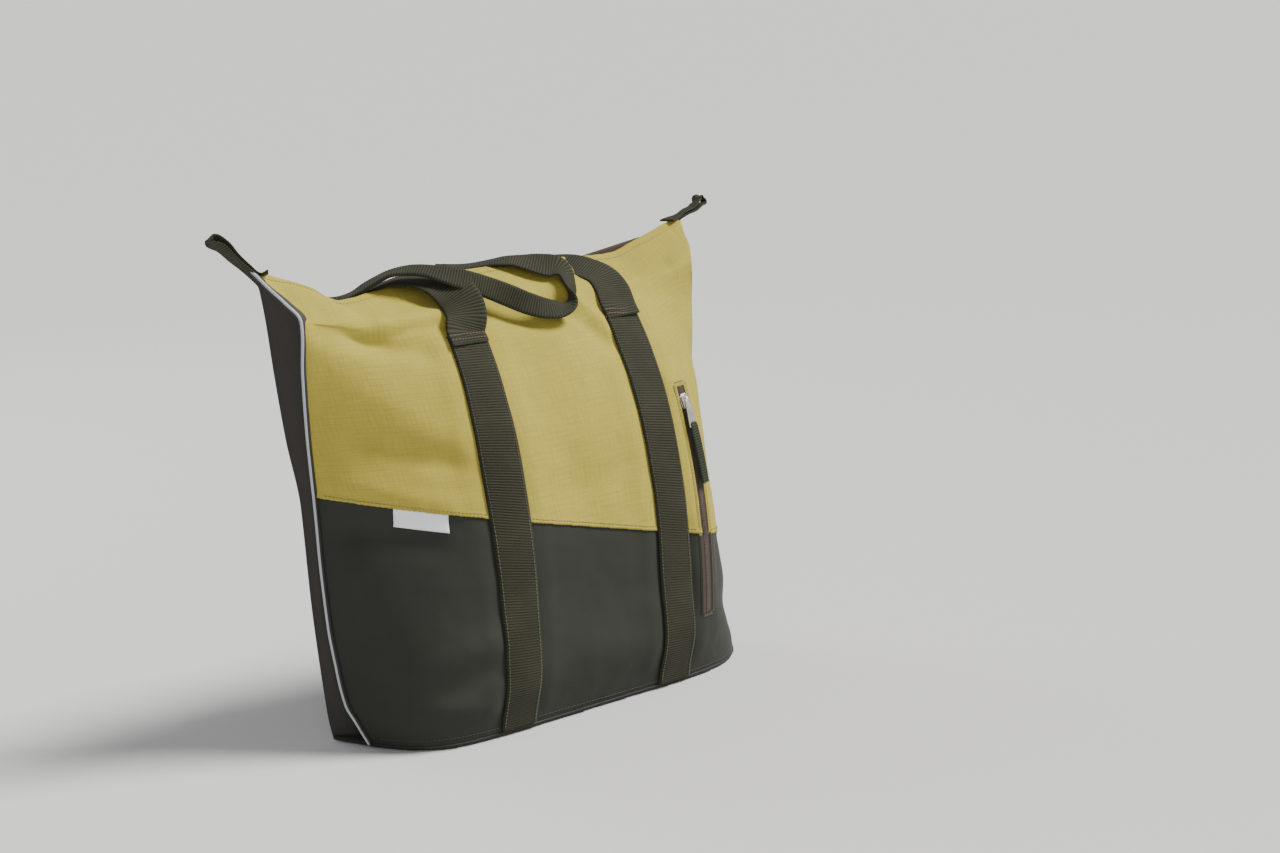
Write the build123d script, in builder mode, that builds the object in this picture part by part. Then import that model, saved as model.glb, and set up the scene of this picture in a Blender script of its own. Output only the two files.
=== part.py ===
"""Pannier shopper bag: fabric shell, webbing handles, zips and rack hooks.

Frame: +Z up, origin in the middle of the flat base. The front face looks along -Y, the rack side
along +Y, and -X is the end that points to the back of the bicycle. All sizes are millimetres.
"""
import math
import os

from build123d import *

os.makedirs("parts", exist_ok=True)

# Driving dimensions of the bag
BASE_HALF_WIDTH = 200.0         # half width of the shell at the base
WIDTH_GROWTH = 0.045            # growth of the half width with height
HEM_HEIGHT = 387.0              # top edge between the ears
EAR_HEIGHT = 408.0              # top edge at the two raised corners
EAR_HALF_WIDTH = 226.0
BACK_Y = 54.8                   # outer face of the back panel
FABRIC = 1.6
SEAM_GAP = 0.3                  # clearance between neighbouring sewn pieces
SEAM_MIDDLE = 167.0             # height of the slanted colour seam at the middle of the bag
SEAM_SLOPE = -0.243
RIM_HEIGHT = 6.6                # upturned rim of the base
BASE_CORNER = 3.0               # how far the base's corners are drawn in
LINING_DEPTH = 15.0             # pocket lining, behind the front face
LINING_SHEET = 1.0
GUSSET_INSET = 0.4              # gusset's clearance inside the bag's width
GUSSET_SHEET = 1.3
GUSSET_START = 3.2              # from the front edge to the gusset
GUSSET_FOLD = 0.32              # depth of the gusset's inward fold, as a share of its width
GUSSET_TOP = (397, 36)          # z, y
PIPING = 4.0                    # square that the round cord is drawn in
PIPING_OUT = 2.4                # cord's middle, outside the bag's width
BASE_BOARD = (312, 72, 2.4)
BACK_BOARD = (370, 330, 2)
BOARD_GAP = 0.2                 # clearance between a board and its panel
LABEL_SIZE = (48, 15, 0.8)
TAB_WIDTH = 21.0

# Webbing
WEBBING = 38.0
WEBBING_THICKNESS = 1.8
GRIP_WIDTH = 20.0
GRIP_THICKNESS = 3.2
STRAP_OFFSET = 0.8              # strap's clearance over the fabric
BACK_STRAP_X = 70.0

# Rack hooks and rails
TUBE_RADIUS = 5.1               # seat for a 10 mm rack tube
INSERT_OUTER = 8.0
HOOK_BORE = 8.1
HOOK_OUTER = 12.0
TUBE_Y = 78.0
TUBE_Z = 316.0
HOOK_X = 128.0
HOOK_WIDTH = 36.0
RAIL_HALF = 168.0
RAIL_Y = 55.3
LEVER_PIVOT = (89.0, 306.0)
PIN_RADIUS = 1.5
RUNNING = 0.05
LOWER_RAIL_Z = 100.0
STABILISER_X = -40.0
SCREW_RADIUS = 2.0
SCREWS = [(-155, 311), (0, 311), (155, 311), (-90, 100), (30, 100)]     # x, z

# Front surface: depth y at each height of a column, for columns at several distances from the middle
HEIGHTS = [7, 60, 140, 220, 290, 340, 376]
HEM_Y = 50.0
COLUMNS = {
    -185: [-15, -14, -5, 3, 0, 1, 7],
    -148: [-47, -53, -42, -28, -19, -7, 7],
    -109: [-52, -64, -61, -48, -32, -12, 7],
    -71: [-52, -66, -67, -57, -39, -14, 7],
    0: [-46, -63, -67, -61, -41, -15, 7],
    71: [-47, -62, -64, -58.5, -40, -14, 7],
    109: [-44, -61.2, -63.4, -55, -39, -12, 8],
    121: [-42, -58.2, -60.5, -52.1, -36.3, -10, 8],
    148: [-36, -51.7, -53.9, -45.6, -29.7, -7, 9],
    185: [-22, -19, -13, -4, -2, -1, 9],
}
EDGE = [14, 30, 33, 34, 22, 14, 7]


def half_width(z):
    return BASE_HALF_WIDTH + WIDTH_GROWTH * z


def hem_height(x):
    rise = max(0.0, (abs(x) - 150) / (EAR_HALF_WIDTH - 150))
    return HEM_HEIGHT + (EAR_HEIGHT - HEM_HEIGHT) * min(1.0, rise)


def column(x):
    """Points (y, z) of the outer front surface, from the base rim to the hem."""
    depths = EDGE if x is None else COLUMNS[x]
    top = EAR_HEIGHT if x is None else hem_height(x)
    return list(zip(depths, HEIGHTS)) + [(HEM_Y, top)]


def shifted(points, amount):
    """The same curve moved outwards by amount along its normal in the YZ plane."""
    moved = []
    for i, (y, z) in enumerate(points):
        y0, z0 = points[max(i - 1, 0)]
        y1, z1 = points[min(i + 1, len(points) - 1)]
        length = math.hypot(y1 - y0, z1 - z0)
        moved.append((y - amount * (z1 - z0) / length, z + amount * (y1 - y0) / length))
    return moved


def strip_section(x, inner, outer, side=0, low=0, high=None):
    """One closed profile between two offsets of a column; side is -1 or +1 on the tilted bag edge."""
    points = column(None if side else x)[low:high]
    tilt = side * WIDTH_GROWTH
    plane = Plane(origin=(side * BASE_HALF_WIDTH if side else x, 0, 0), x_dir=(0, 1, 0), z_dir=(1, 0, -tilt))
    outside = [(y, z * math.hypot(1, tilt)) for y, z in shifted(points, outer)]
    inside = [(y, z * math.hypot(1, tilt)) for y, z in shifted(points, inner)]
    with BuildSketch(plane) as profile:
        with BuildLine():
            Spline(*outside)
            Line(outside[-1], inside[-1])
            Spline(*reversed(inside))
            Line(inside[0], outside[0])
        make_face()
    return profile.sketch


def seam_plane(offset):
    return Plane(origin=(0, 0, SEAM_MIDDLE + offset), x_dir=(1, 0, SEAM_SLOPE), z_dir=(-SEAM_SLOPE, 0, 1))


def front_shell():
    """The whole front face as one thin panel, ruled from column to column."""
    inner_columns = [strip_section(x, -FABRIC, 0) for x in COLUMNS]
    rear_edge = strip_section(None, -FABRIC, 0, side=-1)
    front_edge = strip_section(None, -FABRIC, 0, side=1)
    loft([rear_edge, *inner_columns, front_edge], ruled=True)


def ribbon(stations):
    """A flat band through stations of (centre, width direction, width, thickness)."""
    centres = [Vector(*station[0]) for station in stations]
    sections = []
    for i, (centre, across, width, thickness) in enumerate(stations):
        along = centres[min(i + 1, len(centres) - 1)] - centres[max(i - 1, 0)]
        with BuildSketch(Plane(origin=centre, x_dir=square_to(across, along), z_dir=along)) as section:
            Rectangle(width, thickness)
        sections.append(section.sketch)
    loft(sections, ruled=True)


def square_to(across, along):
    across = Vector(*across)
    unit = along.normalized()
    return (across - unit * across.dot(unit)).normalized()


def keep(part, name):
    part.part.label = name
    export_step(part.part, f"parts/{name}.step")


# ---------------------------------------------------------------- fabric shell

with BuildPart() as front_panel_upper:
    front_shell()
    split(bisect_by=seam_plane(SEAM_GAP / 2), keep=Keep.TOP)
keep(front_panel_upper, "front_panel_upper")

with BuildPart() as front_panel_lower:
    front_shell()
    split(bisect_by=seam_plane(-SEAM_GAP / 2), keep=Keep.BOTTOM)
keep(front_panel_lower, "front_panel_lower")

with BuildPart() as pocket_lining:
    sections = [strip_section(x, -LINING_DEPTH - LINING_SHEET, -LINING_DEPTH, low=1, high=6)
                for x in COLUMNS if x >= 0]
    loft(sections, ruled=True)
keep(pocket_lining, "pocket_lining")

for end_name, end in (("gusset_rear", -1), ("gusset_front", 1)):
    with BuildPart() as gusset:
        for gusset_z, edge_y in list(zip(HEIGHTS, EDGE)) + [GUSSET_TOP]:
            outer_x = end * (half_width(gusset_z) - GUSSET_INSET)
            inner_x = outer_x - end * GUSSET_SHEET
            start_y = edge_y + GUSSET_START
            end_y = BACK_Y - FABRIC - SEAM_GAP
            fold_y = (start_y + end_y) / 2
            fold = -end * GUSSET_FOLD * (end_y - start_y)
            with BuildSketch(Plane.XY.offset(gusset_z)):
                with BuildLine():
                    ThreePointArc((outer_x, start_y), (outer_x + fold, fold_y), (outer_x, end_y))
                    Line((outer_x, end_y), (inner_x, end_y))
                    ThreePointArc((inner_x, end_y), (inner_x + fold, fold_y), (inner_x, start_y))
                    Line((inner_x, start_y), (outer_x, start_y))
                make_face()
        loft(ruled=True)
    keep(gusset, end_name)

for piping_name, end in (("piping_rear", -1), ("piping_front", 1)):
    with BuildPart() as piping:
        cord = [(end * (half_width(z) + PIPING_OUT), y + 0.4, z) for y, z in zip(EDGE, HEIGHTS)]
        cord.append((end * (half_width(EAR_HEIGHT) + PIPING_OUT), HEM_Y - 1, EAR_HEIGHT - 2))
        ribbon([(point, (1, 0, 0), PIPING, PIPING) for point in cord])
    keep(piping, piping_name)

with BuildPart() as bottom_panel:
    with BuildSketch() as base_outline:
        with BuildLine():
            base_front = [(x, COLUMNS[x][0]) for x in COLUMNS]
            corner_x = BASE_HALF_WIDTH - BASE_CORNER
            corner_y = BACK_Y - FABRIC - SEAM_GAP
            Polyline((-corner_x, corner_y), (-corner_x, EDGE[0]), *base_front,
                     (corner_x, EDGE[0]), (corner_x, corner_y), close=True)
        make_face()
    extrude(amount=RIM_HEIGHT)
    with BuildSketch(Plane.XY.offset(FABRIC)):
        add(base_outline.sketch)
        offset(amount=-FABRIC, mode=Mode.REPLACE)
    extrude(amount=RIM_HEIGHT, mode=Mode.SUBTRACT)
keep(bottom_panel, "bottom_panel")

with BuildPart() as base_board:
    with BuildSketch(Plane.XY.offset(FABRIC + BOARD_GAP)):
        with Locations((-2, 7)):
            RectangleRounded(BASE_BOARD[0], BASE_BOARD[1], 12)
    extrude(amount=BASE_BOARD[2])
keep(base_board, "base_board")

with BuildPart() as back_panel:
    with BuildSketch(Plane.XZ.offset(-BACK_Y)):
        with BuildLine():
            Polyline((-BASE_HALF_WIDTH, 0), (-half_width(376), 376), (-EAR_HALF_WIDTH, EAR_HEIGHT - 1),
                     (-EAR_HALF_WIDTH + 14, EAR_HEIGHT - 14), (-150, 366), (150, 366),
                     (EAR_HALF_WIDTH - 14, EAR_HEIGHT - 14), (EAR_HALF_WIDTH, EAR_HEIGHT - 1),
                     (half_width(376), 376), (BASE_HALF_WIDTH, 0), close=True)
        make_face()
        with Locations(*SCREWS):
            Circle(SCREW_RADIUS + 0.3, mode=Mode.SUBTRACT)
    extrude(amount=FABRIC)
keep(back_panel, "back_panel")

with BuildPart() as back_board:
    with BuildSketch(Plane.XZ.offset(-(BACK_Y - FABRIC - BOARD_GAP))):
        with Locations((0, 178)):
            RectangleRounded(BACK_BOARD[0], BACK_BOARD[1], 25)
        with Locations(*SCREWS):
            Circle(SCREW_RADIUS + 0.3, mode=Mode.SUBTRACT)
    extrude(amount=BACK_BOARD[2])
keep(back_board, "back_board")

with BuildPart() as side_label:
    label_middle = (-148.9, -37.5, 194.5)
    with BuildSketch(Plane(origin=label_middle, x_dir=(0.73, -0.68, -0.12), z_dir=(-0.68, -0.73, 0))):
        Rectangle(LABEL_SIZE[0], LABEL_SIZE[1])
    extrude(amount=LABEL_SIZE[2])
keep(side_label, "side_label")

# ---------------------------------------------------------------- straps and handles

for strap_name, end in (("front_strap_rear", -1), ("front_strap_front", 1)):
    with BuildPart() as strap:
        strap_outer = STRAP_OFFSET + WEBBING_THICKNESS
        loft([strip_section(x * end, STRAP_OFFSET, strap_outer, high=6) for x in (71, 109)], ruled=True)
    keep(strap, strap_name)

# The front loop lies on top of the bag: over the rear ear, back across the front, and along the hem.
# Each station is x, y, z, the direction across the band, its width and its thickness.
FRONT_LOOP = [
    (-90, -20, 344, (1, 0, 0), 36, WEBBING_THICKNESS),
    (-91, -16, 362, (1, 0, 0), 36, WEBBING_THICKNESS),
    (-93, -2, 381, (0.95, 0.25, 0), 34, WEBBING_THICKNESS),
    (-100, 20, 393, (0.9, 0.4, 0), 28, WEBBING_THICKNESS),
    (-114, 48, 394, (0.85, 0.45, 0), 22, 2.4),
    (-129, 70, 393, (0.75, 0.6, 0.2), 20, GRIP_THICKNESS),
    (-144, 83, 391, (0.2, 0.75, 0.6), 19, GRIP_THICKNESS),
    (-160, 78, 395, (-0.2, 0.3, 0.93), GRIP_WIDTH, GRIP_THICKNESS),
    (-162, 60, 402, (0.1, 0.2, 0.97), GRIP_WIDTH, GRIP_THICKNESS),
    (-150, 40, 407, (0, 0.3, 0.95), GRIP_WIDTH, GRIP_THICKNESS),
    (-128, 20, 411, (0, 0.4, 0.9), GRIP_WIDTH, GRIP_THICKNESS),
    (-98, 5, 413, (0, 0.55, 0.83), GRIP_WIDTH, GRIP_THICKNESS),
    (-68, -3, 405, (0.1, 0.6, 0.8), GRIP_WIDTH, GRIP_THICKNESS),
    (-40, -10, 392, (0.2, 0.55, 0.8), GRIP_WIDTH, GRIP_THICKNESS),
    (-14, -18, 377, (0.2, 0.45, 0.85), GRIP_WIDTH, GRIP_THICKNESS),
    (8, -22, 370, (0, 0.4, 0.9), GRIP_WIDTH, GRIP_THICKNESS),
    (26, -18, 376, (-0.5, 0.5, 0.7), GRIP_WIDTH, GRIP_THICKNESS),
    (34, -6, 389, (-0.8, 0.5, 0.35), GRIP_WIDTH, GRIP_THICKNESS),
    (28, 8, 400, (-0.5, 0.7, 0.5), 22, GRIP_THICKNESS),
    (10, 19, 404, (0, 0.8, 0.5), 26, 2.4),
    (-14, 27, 404, (0, 0.75, 0.65), 24, 2.4),
    (-36, 33, 403, (0, 0.35, 0.93), GRIP_WIDTH, GRIP_THICKNESS),
    (-50, 42, 402, (0, 0, 1), GRIP_WIDTH, GRIP_THICKNESS),
    (-36, 52, 402, (0, 0, 1), GRIP_WIDTH, GRIP_THICKNESS),
    (0, 54, 402, (0, 0.1, 1), GRIP_WIDTH, GRIP_THICKNESS),
    (40, 51, 401, (0, 0.5, 0.87), 24, 2.4),
    (66, 41, 397, (0.4, 0.8, 0.4), 28, WEBBING_THICKNESS),
    (83, 22, 393, (0.85, 0.5, 0), 32, WEBBING_THICKNESS),
    (89, -2, 382, (0.97, 0.2, 0), 34, WEBBING_THICKNESS),
    (90, -16, 362, (1, 0, 0), 36, WEBBING_THICKNESS),
    (90, -20, 344, (1, 0, 0), 36, WEBBING_THICKNESS),
]

with BuildPart() as front_handle:
    ribbon([((x, y, z), across, width, thickness) for x, y, z, across, width, thickness in FRONT_LOOP])
keep(front_handle, "front_handle")

with BuildPart() as back_straps:
    for side in (-1, 1):
        patch = [(57.4, 329), (57.4, 346), (60.5, 351.5), (66, 353)]
        ribbon([((side * BACK_STRAP_X, y, z), (1, 0, 0), WEBBING, WEBBING_THICKNESS) for y, z in patch])
keep(back_straps, "back_straps")

# The back loop hangs outside the rack hooks.
BACK_LEG = [(70, 68.6, 353, WEBBING), (70, 76, 349, WEBBING), (70, 84, 338, WEBBING), (70, 90, 318, 36),
            (68, 93, 290, 30), (62, 94, 262, 22), (48, 94, 240, GRIP_WIDTH), (26, 93, 227, GRIP_WIDTH)]

with BuildPart() as back_handle:
    loop = [(-x, y, z, width) for x, y, z, width in BACK_LEG] + [(0, 93, 223, GRIP_WIDTH)]
    loop += list(reversed(BACK_LEG))
    stations = []
    for index, (x, y, z, width) in enumerate(loop):
        before = loop[max(index - 1, 0)]
        after = loop[min(index + 1, len(loop) - 1)]
        across = (-(after[2] - before[2]), 0, after[0] - before[0])
        if abs(x) == BACK_STRAP_X:
            across = (1, 0, 0)
        thickness = WEBBING_THICKNESS if width > 30 else GRIP_THICKNESS
        stations.append(((x, y, z), across, width, thickness))
    ribbon(stations)
keep(back_handle, "back_handle")

for tab_name, end in (("end_tab_rear", -1), ("end_tab_front", 1)):
    with BuildPart() as end_tab:
        reach = [(224, 57.4, 398), (238, 58, 412), (254, 58, 430), (268, 58, 444)]
        if end == 1:
            reach = [(224, 57.4, 398), (236, 59, 409), (248, 64, 416), (260, 72, 420)]
        ribbon([((end * x, y, z), (1, 0, -end), TAB_WIDTH, GRIP_THICKNESS) for x, y, z in reach])
    keep(end_tab, tab_name)

# ---------------------------------------------------------------- top zip, on the rack side of the hem

ZIP_Z = 373.0
ZIP_HALF = 176.0


def zip_tape(low, high):
    with BuildSketch(Plane.XZ.offset(-55.0)) as tape:
        with Locations((0, (low + high) / 2)):
            Rectangle(2 * ZIP_HALF + 20, high - low)
    extrude(tape.sketch, amount=-0.8)


with BuildPart() as top_zip_tape_back:
    zip_tape(356, ZIP_Z - 1)
keep(top_zip_tape_back, "top_zip_tape_back")

with BuildPart() as top_zip_tape_front:
    zip_tape(ZIP_Z + 1, HEM_HEIGHT)
keep(top_zip_tape_front, "top_zip_tape_front")

with BuildPart() as top_zip_coil:
    with Locations((0, 56.9, ZIP_Z)):
        Box(2 * ZIP_HALF, 1.8, 5)
keep(top_zip_coil, "top_zip_coil")

TOP_SLIDER_X = 162.0

with BuildPart() as top_slider:
    with BuildSketch(Plane.XZ.offset(-58.0)):
        with Locations((TOP_SLIDER_X, ZIP_Z)):
            RectangleRounded(14, 10, 2.5)
    extrude(amount=-1.9)
    with Locations((TOP_SLIDER_X, 61.4, ZIP_Z)):
        Box(7, 3, 3)
    with Locations((TOP_SLIDER_X, 61.7, ZIP_Z)):
        Cylinder(0.9, 7, rotation=(0, 90, 0), mode=Mode.SUBTRACT)
keep(top_slider, "top_slider")

with BuildPart() as top_pull:
    with Locations((TOP_SLIDER_X, 61.7, ZIP_Z)):
        Cylinder(0.8, 12, rotation=(0, 90, 0))
    with BuildSketch(Plane.XZ.offset(-60.9)):
        with Locations((TOP_SLIDER_X, ZIP_Z - 7)):
            RectangleRounded(14, 17, 3)
        with Locations((TOP_SLIDER_X, ZIP_Z)):
            Rectangle(7.6, 7, mode=Mode.SUBTRACT)
    extrude(amount=-1.6)
keep(top_pull, "top_pull")

# ---------------------------------------------------------------- pocket zip, on the front face
# The zip follows the belly of the bag, an arc in an upright plane, and its slider turns about that
# arc's centre.

POCKET_TURN = 13.5              # degrees between the zip's face and the bag's front
POCKET_PEAK = Vector(134.5, -57.6, 117.3)       # the point of the arc that stands furthest forward
POCKET_RADIUS = 637.0
POCKET_LOW = 62.0
POCKET_HIGH = 272.0
POCKET_PROUD = 2.4              # how far the tape's back stands off the arc
POCKET_ACROSS = Vector(1, 0, 0).rotate(Axis.Z, POCKET_TURN)
POCKET_OUT = Vector(0, -1, 0).rotate(Axis.Z, POCKET_TURN)
POCKET_CENTRE = POCKET_PEAK - POCKET_OUT * POCKET_RADIUS


def pocket_angle(z):
    """Degrees up the arc at height z."""
    return math.degrees(math.asin((z - POCKET_CENTRE.Z) / POCKET_RADIUS))


def pocket_plane(z, out):
    """A plane square to the arc at height z, out from the back of the tape."""
    angle = math.radians(pocket_angle(z))
    normal = POCKET_OUT * math.cos(angle) + Vector(0, 0, 1) * math.sin(angle)
    origin = POCKET_CENTRE + normal * (POCKET_RADIUS + POCKET_PROUD + out)
    return Plane(origin=origin, x_dir=POCKET_ACROSS, z_dir=normal)


def pocket_band(width, start, thickness, low, high):
    """A band along the arc, start to start + thickness out from the back of the tape."""
    inner = POCKET_RADIUS + POCKET_PROUD + start
    first = -pocket_angle(high)
    sweep_angle = pocket_angle(high) - pocket_angle(low)
    start_point = POCKET_CENTRE - POCKET_ACROSS * width / 2
    side_plane = Plane(origin=start_point, x_dir=POCKET_OUT, z_dir=POCKET_ACROSS)
    with BuildSketch(side_plane) as side:
        with BuildLine():
            inner_arc = CenterArc((0, 0), inner, first, sweep_angle)
            outer_arc = CenterArc((0, 0), inner + thickness, first, sweep_angle)
            Line(inner_arc @ 0, outer_arc @ 0)
            Line(inner_arc @ 1, outer_arc @ 1)
        make_face()
    extrude(side.sketch, amount=width)


with BuildPart() as pocket_zip_tape:
    pocket_band(24, 0, 0.8, POCKET_LOW, POCKET_HIGH)
keep(pocket_zip_tape, "pocket_zip_tape")

with BuildPart() as pocket_zip_coil:
    pocket_band(5, 0.9, 1.6, POCKET_LOW + 2, POCKET_HIGH - 2)
keep(pocket_zip_coil, "pocket_zip_coil")

POCKET_SLIDER_Z = 256.0
PULL_PIVOT_OUT = 6.0
PULL_PIN_RADIUS = 0.8


def pocket_pin_plane():
    pivot = pocket_plane(POCKET_SLIDER_Z, PULL_PIVOT_OUT)
    return Plane(origin=pivot.origin - POCKET_ACROSS * 4, x_dir=pivot.z_dir, z_dir=POCKET_ACROSS)


with BuildPart() as pocket_slider:
    with BuildSketch(pocket_plane(POCKET_SLIDER_Z, 2.7)):
        RectangleRounded(10, 13, 2.5)
    extrude(amount=2)
    with BuildSketch(pocket_plane(POCKET_SLIDER_Z, 4.7)):
        Rectangle(3, 6)
    extrude(amount=2.8)
    with BuildSketch(pocket_pin_plane()):
        Circle(PULL_PIN_RADIUS + RUNNING)
    extrude(amount=8, mode=Mode.SUBTRACT)
keep(pocket_slider, "pocket_slider")

with BuildPart() as pocket_pull:
    with BuildSketch(pocket_pin_plane()):
        Circle(PULL_PIN_RADIUS)
    extrude(amount=8)
    with BuildSketch(pocket_plane(POCKET_SLIDER_Z, 5.3)):
        with Locations((0, -11.75)):
            RectangleRounded(8, 25.5, 2.5)
        Rectangle(3.6, 8, mode=Mode.SUBTRACT)
        with Locations((0, -20.5)):
            RectangleRounded(5, 4, 1, mode=Mode.SUBTRACT)
    extrude(amount=1.4)
keep(pocket_pull, "pocket_pull")

with BuildPart() as pocket_ribbon:
    with BuildSketch(pocket_plane(POCKET_SLIDER_Z, 5.0)):
        with Locations((0, -50)):
            RectangleRounded(11, 48, 1.5)
    extrude(amount=2)
keep(pocket_ribbon, "pocket_ribbon")

# ---------------------------------------------------------------- rack hooks

RAIL_Z = 311.0


LOWER_RAIL_HALF = 80.0
LOWER_RAIL_X = -30.0


def t_track(middle_z, half_length, base_height, head_height, middle_x=0.0):
    """A T-shaped track: base plate on the bag, web, and the head that the slider grips."""
    web_height = head_height - 10
    for start, depth, height in ((0, 3, base_height), (3, 2.7, web_height), (5.7, 2.5, head_height)):
        with Locations((middle_x, RAIL_Y + start + depth / 2, middle_z)):
            Box(2 * half_length, depth, height)


def screw_holes(screws):
    with BuildSketch(Plane.XZ.offset(-RAIL_Y + 1)) as holes:
        with Locations(*screws):
            Circle(SCREW_RADIUS + 0.1)
    extrude(holes.sketch, amount=-12, mode=Mode.SUBTRACT)
    for x, z in screws:
        with Locations(Location((x, RAIL_Y + 8.2 - 1.1, z), (90, 0, 0))):
            Cone(4.1, SCREW_RADIUS + 0.1, 2.2, mode=Mode.SUBTRACT)


with BuildPart() as hook_rail:
    t_track(RAIL_Z, RAIL_HALF, 30, 22)
    screw_holes(SCREWS[:3])
keep(hook_rail, "hook_rail")

with BuildPart() as lower_rail:
    t_track(LOWER_RAIL_Z, LOWER_RAIL_HALF, 24, 18, middle_x=LOWER_RAIL_X)
    screw_holes(SCREWS[3:])
keep(lower_rail, "lower_rail")

with BuildPart() as rail_screws:
    for x, z in SCREWS:
        with BuildSketch(Plane.XZ.offset(-47.5)):
            with Locations((x, z)):
                Circle(SCREW_RADIUS)
        extrude(amount=-(RAIL_Y + 8.1 - 47.5))
        with Locations(Location((x, RAIL_Y + 8.1 - 1.0, z), (90, 0, 0))):
            Cone(3.9, SCREW_RADIUS, 2.0)
keep(rail_screws, "rail_screws")

with BuildPart() as rail_nuts:
    with BuildSketch(Plane.XZ.offset(-50.7)):
        with Locations(*SCREWS):
            RegularPolygon(4.2, 6)
            Circle(SCREW_RADIUS + 0.04, mode=Mode.SUBTRACT)
    extrude(amount=2.6)
keep(rail_nuts, "rail_nuts")

with BuildPart() as rail_end_caps:
    for side in (-1, 1):
        with Locations((side * (RAIL_HALF + 2.2), RAIL_Y + 4.7, RAIL_Z)):
            Box(4, 9.2, 31)
        with Locations((LOWER_RAIL_X + side * (LOWER_RAIL_HALF + 2.2), RAIL_Y + 4.7, LOWER_RAIL_Z)):
            Box(4, 9.2, 25)
    fillet(rail_end_caps.edges(), 1.2)
keep(rail_end_caps, "rail_end_caps")


def track_slider(middle_x, middle_z, width, head_height, front_y, low, high):
    """A block that grips a T-track, between heights low and high about the track's middle."""
    back_y = RAIL_Y + 3.4
    lip_y = RAIL_Y + 5.4
    head_y = RAIL_Y + 8.5
    with BuildSketch(Plane.XZ.offset(-back_y)) as face:
        with Locations((middle_x, middle_z + (low + high) / 2)):
            RectangleRounded(width, high - low, 3)
    extrude(face.sketch, amount=back_y - front_y)
    for y0, y1, height in ((back_y - 1, lip_y, head_height - 9.4), (lip_y, head_y, head_height + 0.6)):
        with Locations((middle_x, (y0 + y1) / 2, middle_z)):
            Box(width + 2, y1 - y0, height, mode=Mode.SUBTRACT)


def hook_profile(x, outer, inner, leg, lip):
    """A downward-open C about the tube, in a plane across the tube."""
    with BuildSketch(Plane.YZ.offset(x)) as profile:
        with Locations((TUBE_Y, TUBE_Z)):
            Circle(outer)
        with Locations((TUBE_Y, TUBE_Z - leg / 2)):
            Rectangle(2 * outer, leg)
        with Locations((TUBE_Y, TUBE_Z)):
            Circle(inner, mode=Mode.SUBTRACT)
        with Locations((TUBE_Y, TUBE_Z - 25)):
            Rectangle(2 * inner, 50, mode=Mode.SUBTRACT)
        with Locations((TUBE_Y, TUBE_Z - lip - 25)):
            Rectangle(60, 50, mode=Mode.SUBTRACT)
    return profile.sketch


for hook_name, hook_x in (("rear", -HOOK_X), ("front", HOOK_X)):
    with BuildPart() as rack_hook:
        track_slider(hook_x, RAIL_Z, HOOK_WIDTH, 22, 68, -18, 19)
        extrude(hook_profile(hook_x - HOOK_WIDTH / 2, HOOK_OUTER, HOOK_BORE, 12, 12), amount=HOOK_WIDTH)
        with BuildSketch(Plane.YZ.offset(hook_x - HOOK_WIDTH / 2)):
            with Locations(LEVER_PIVOT):
                Circle(4.2)
        extrude(amount=HOOK_WIDTH)
        with Locations((hook_x, LEVER_PIVOT[0], LEVER_PIVOT[1])):
            Box(18.6, 12, 11, mode=Mode.SUBTRACT)
            Cylinder(PIN_RADIUS + 0.03, HOOK_WIDTH + 2, rotation=(0, 90, 0), mode=Mode.SUBTRACT)
    keep(rack_hook, f"rack_hook_{hook_name}")

    with BuildPart() as hook_insert:
        insert = hook_profile(hook_x - HOOK_WIDTH / 2 + 0.5, INSERT_OUTER, TUBE_RADIUS, 4, 4)
        extrude(insert, amount=HOOK_WIDTH - 1)
    keep(hook_insert, f"hook_insert_{hook_name}")

    with BuildPart() as latch_pin:
        with Locations((hook_x, LEVER_PIVOT[0], LEVER_PIVOT[1])):
            Cylinder(PIN_RADIUS, HOOK_WIDTH - 1, rotation=(0, 90, 0))
    keep(latch_pin, f"latch_pin_{hook_name}")

    with BuildPart() as latch_springs:
        for side in (-1, 1):
            with Locations((hook_x + side * 7.9, LEVER_PIVOT[0], LEVER_PIVOT[1])):
                Cylinder(3, 2, rotation=(0, 90, 0))
                Cylinder(PIN_RADIUS + 0.3, 4, rotation=(0, 90, 0), mode=Mode.SUBTRACT)
    keep(latch_springs, f"latch_springs_{hook_name}")

    with BuildPart() as latch_lever:
        with BuildSketch(Plane.YZ.offset(hook_x - 6.5)) as latch_profile:
            with Locations(LEVER_PIVOT):
                Circle(3.9)
            with Locations((LEVER_PIVOT[0] - 9, LEVER_PIVOT[1] - 0.5)):
                Rectangle(18, 3.4)
            with Locations((LEVER_PIVOT[0] + 1.6, LEVER_PIVOT[1] - 14)):
                Rectangle(3.4, 26)
            with Locations((LEVER_PIVOT[0] + 3.6, LEVER_PIVOT[1] - 25)):
                Rectangle(7.4, 4)
            fillet(latch_profile.vertices().group_by(Axis.Z)[0], 1.5)
            with Locations(LEVER_PIVOT):
                Circle(PIN_RADIUS + RUNNING, mode=Mode.SUBTRACT)
        extrude(amount=13)
    keep(latch_lever, f"latch_lever_{hook_name}")

# ---------------------------------------------------------------- lower stabiliser hook

CARRIAGE_FRONT = 67.0
STRUT_RADIUS = 5.6
STRUT_X = STABILISER_X + 27
STRUT_Y = 79.0

with BuildPart() as stabiliser_carriage:
    track_slider(STABILISER_X, LOWER_RAIL_Z, 28, 18, CARRIAGE_FRONT, -14, 14)
    with BuildSketch(Plane.XZ.offset(-CARRIAGE_FRONT)):
        with Locations((STABILISER_X, LOWER_RAIL_Z)):
            Circle(SCREW_RADIUS + 0.04)
    extrude(amount=2.6, mode=Mode.SUBTRACT)
keep(stabiliser_carriage, "stabiliser_carriage")

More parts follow.
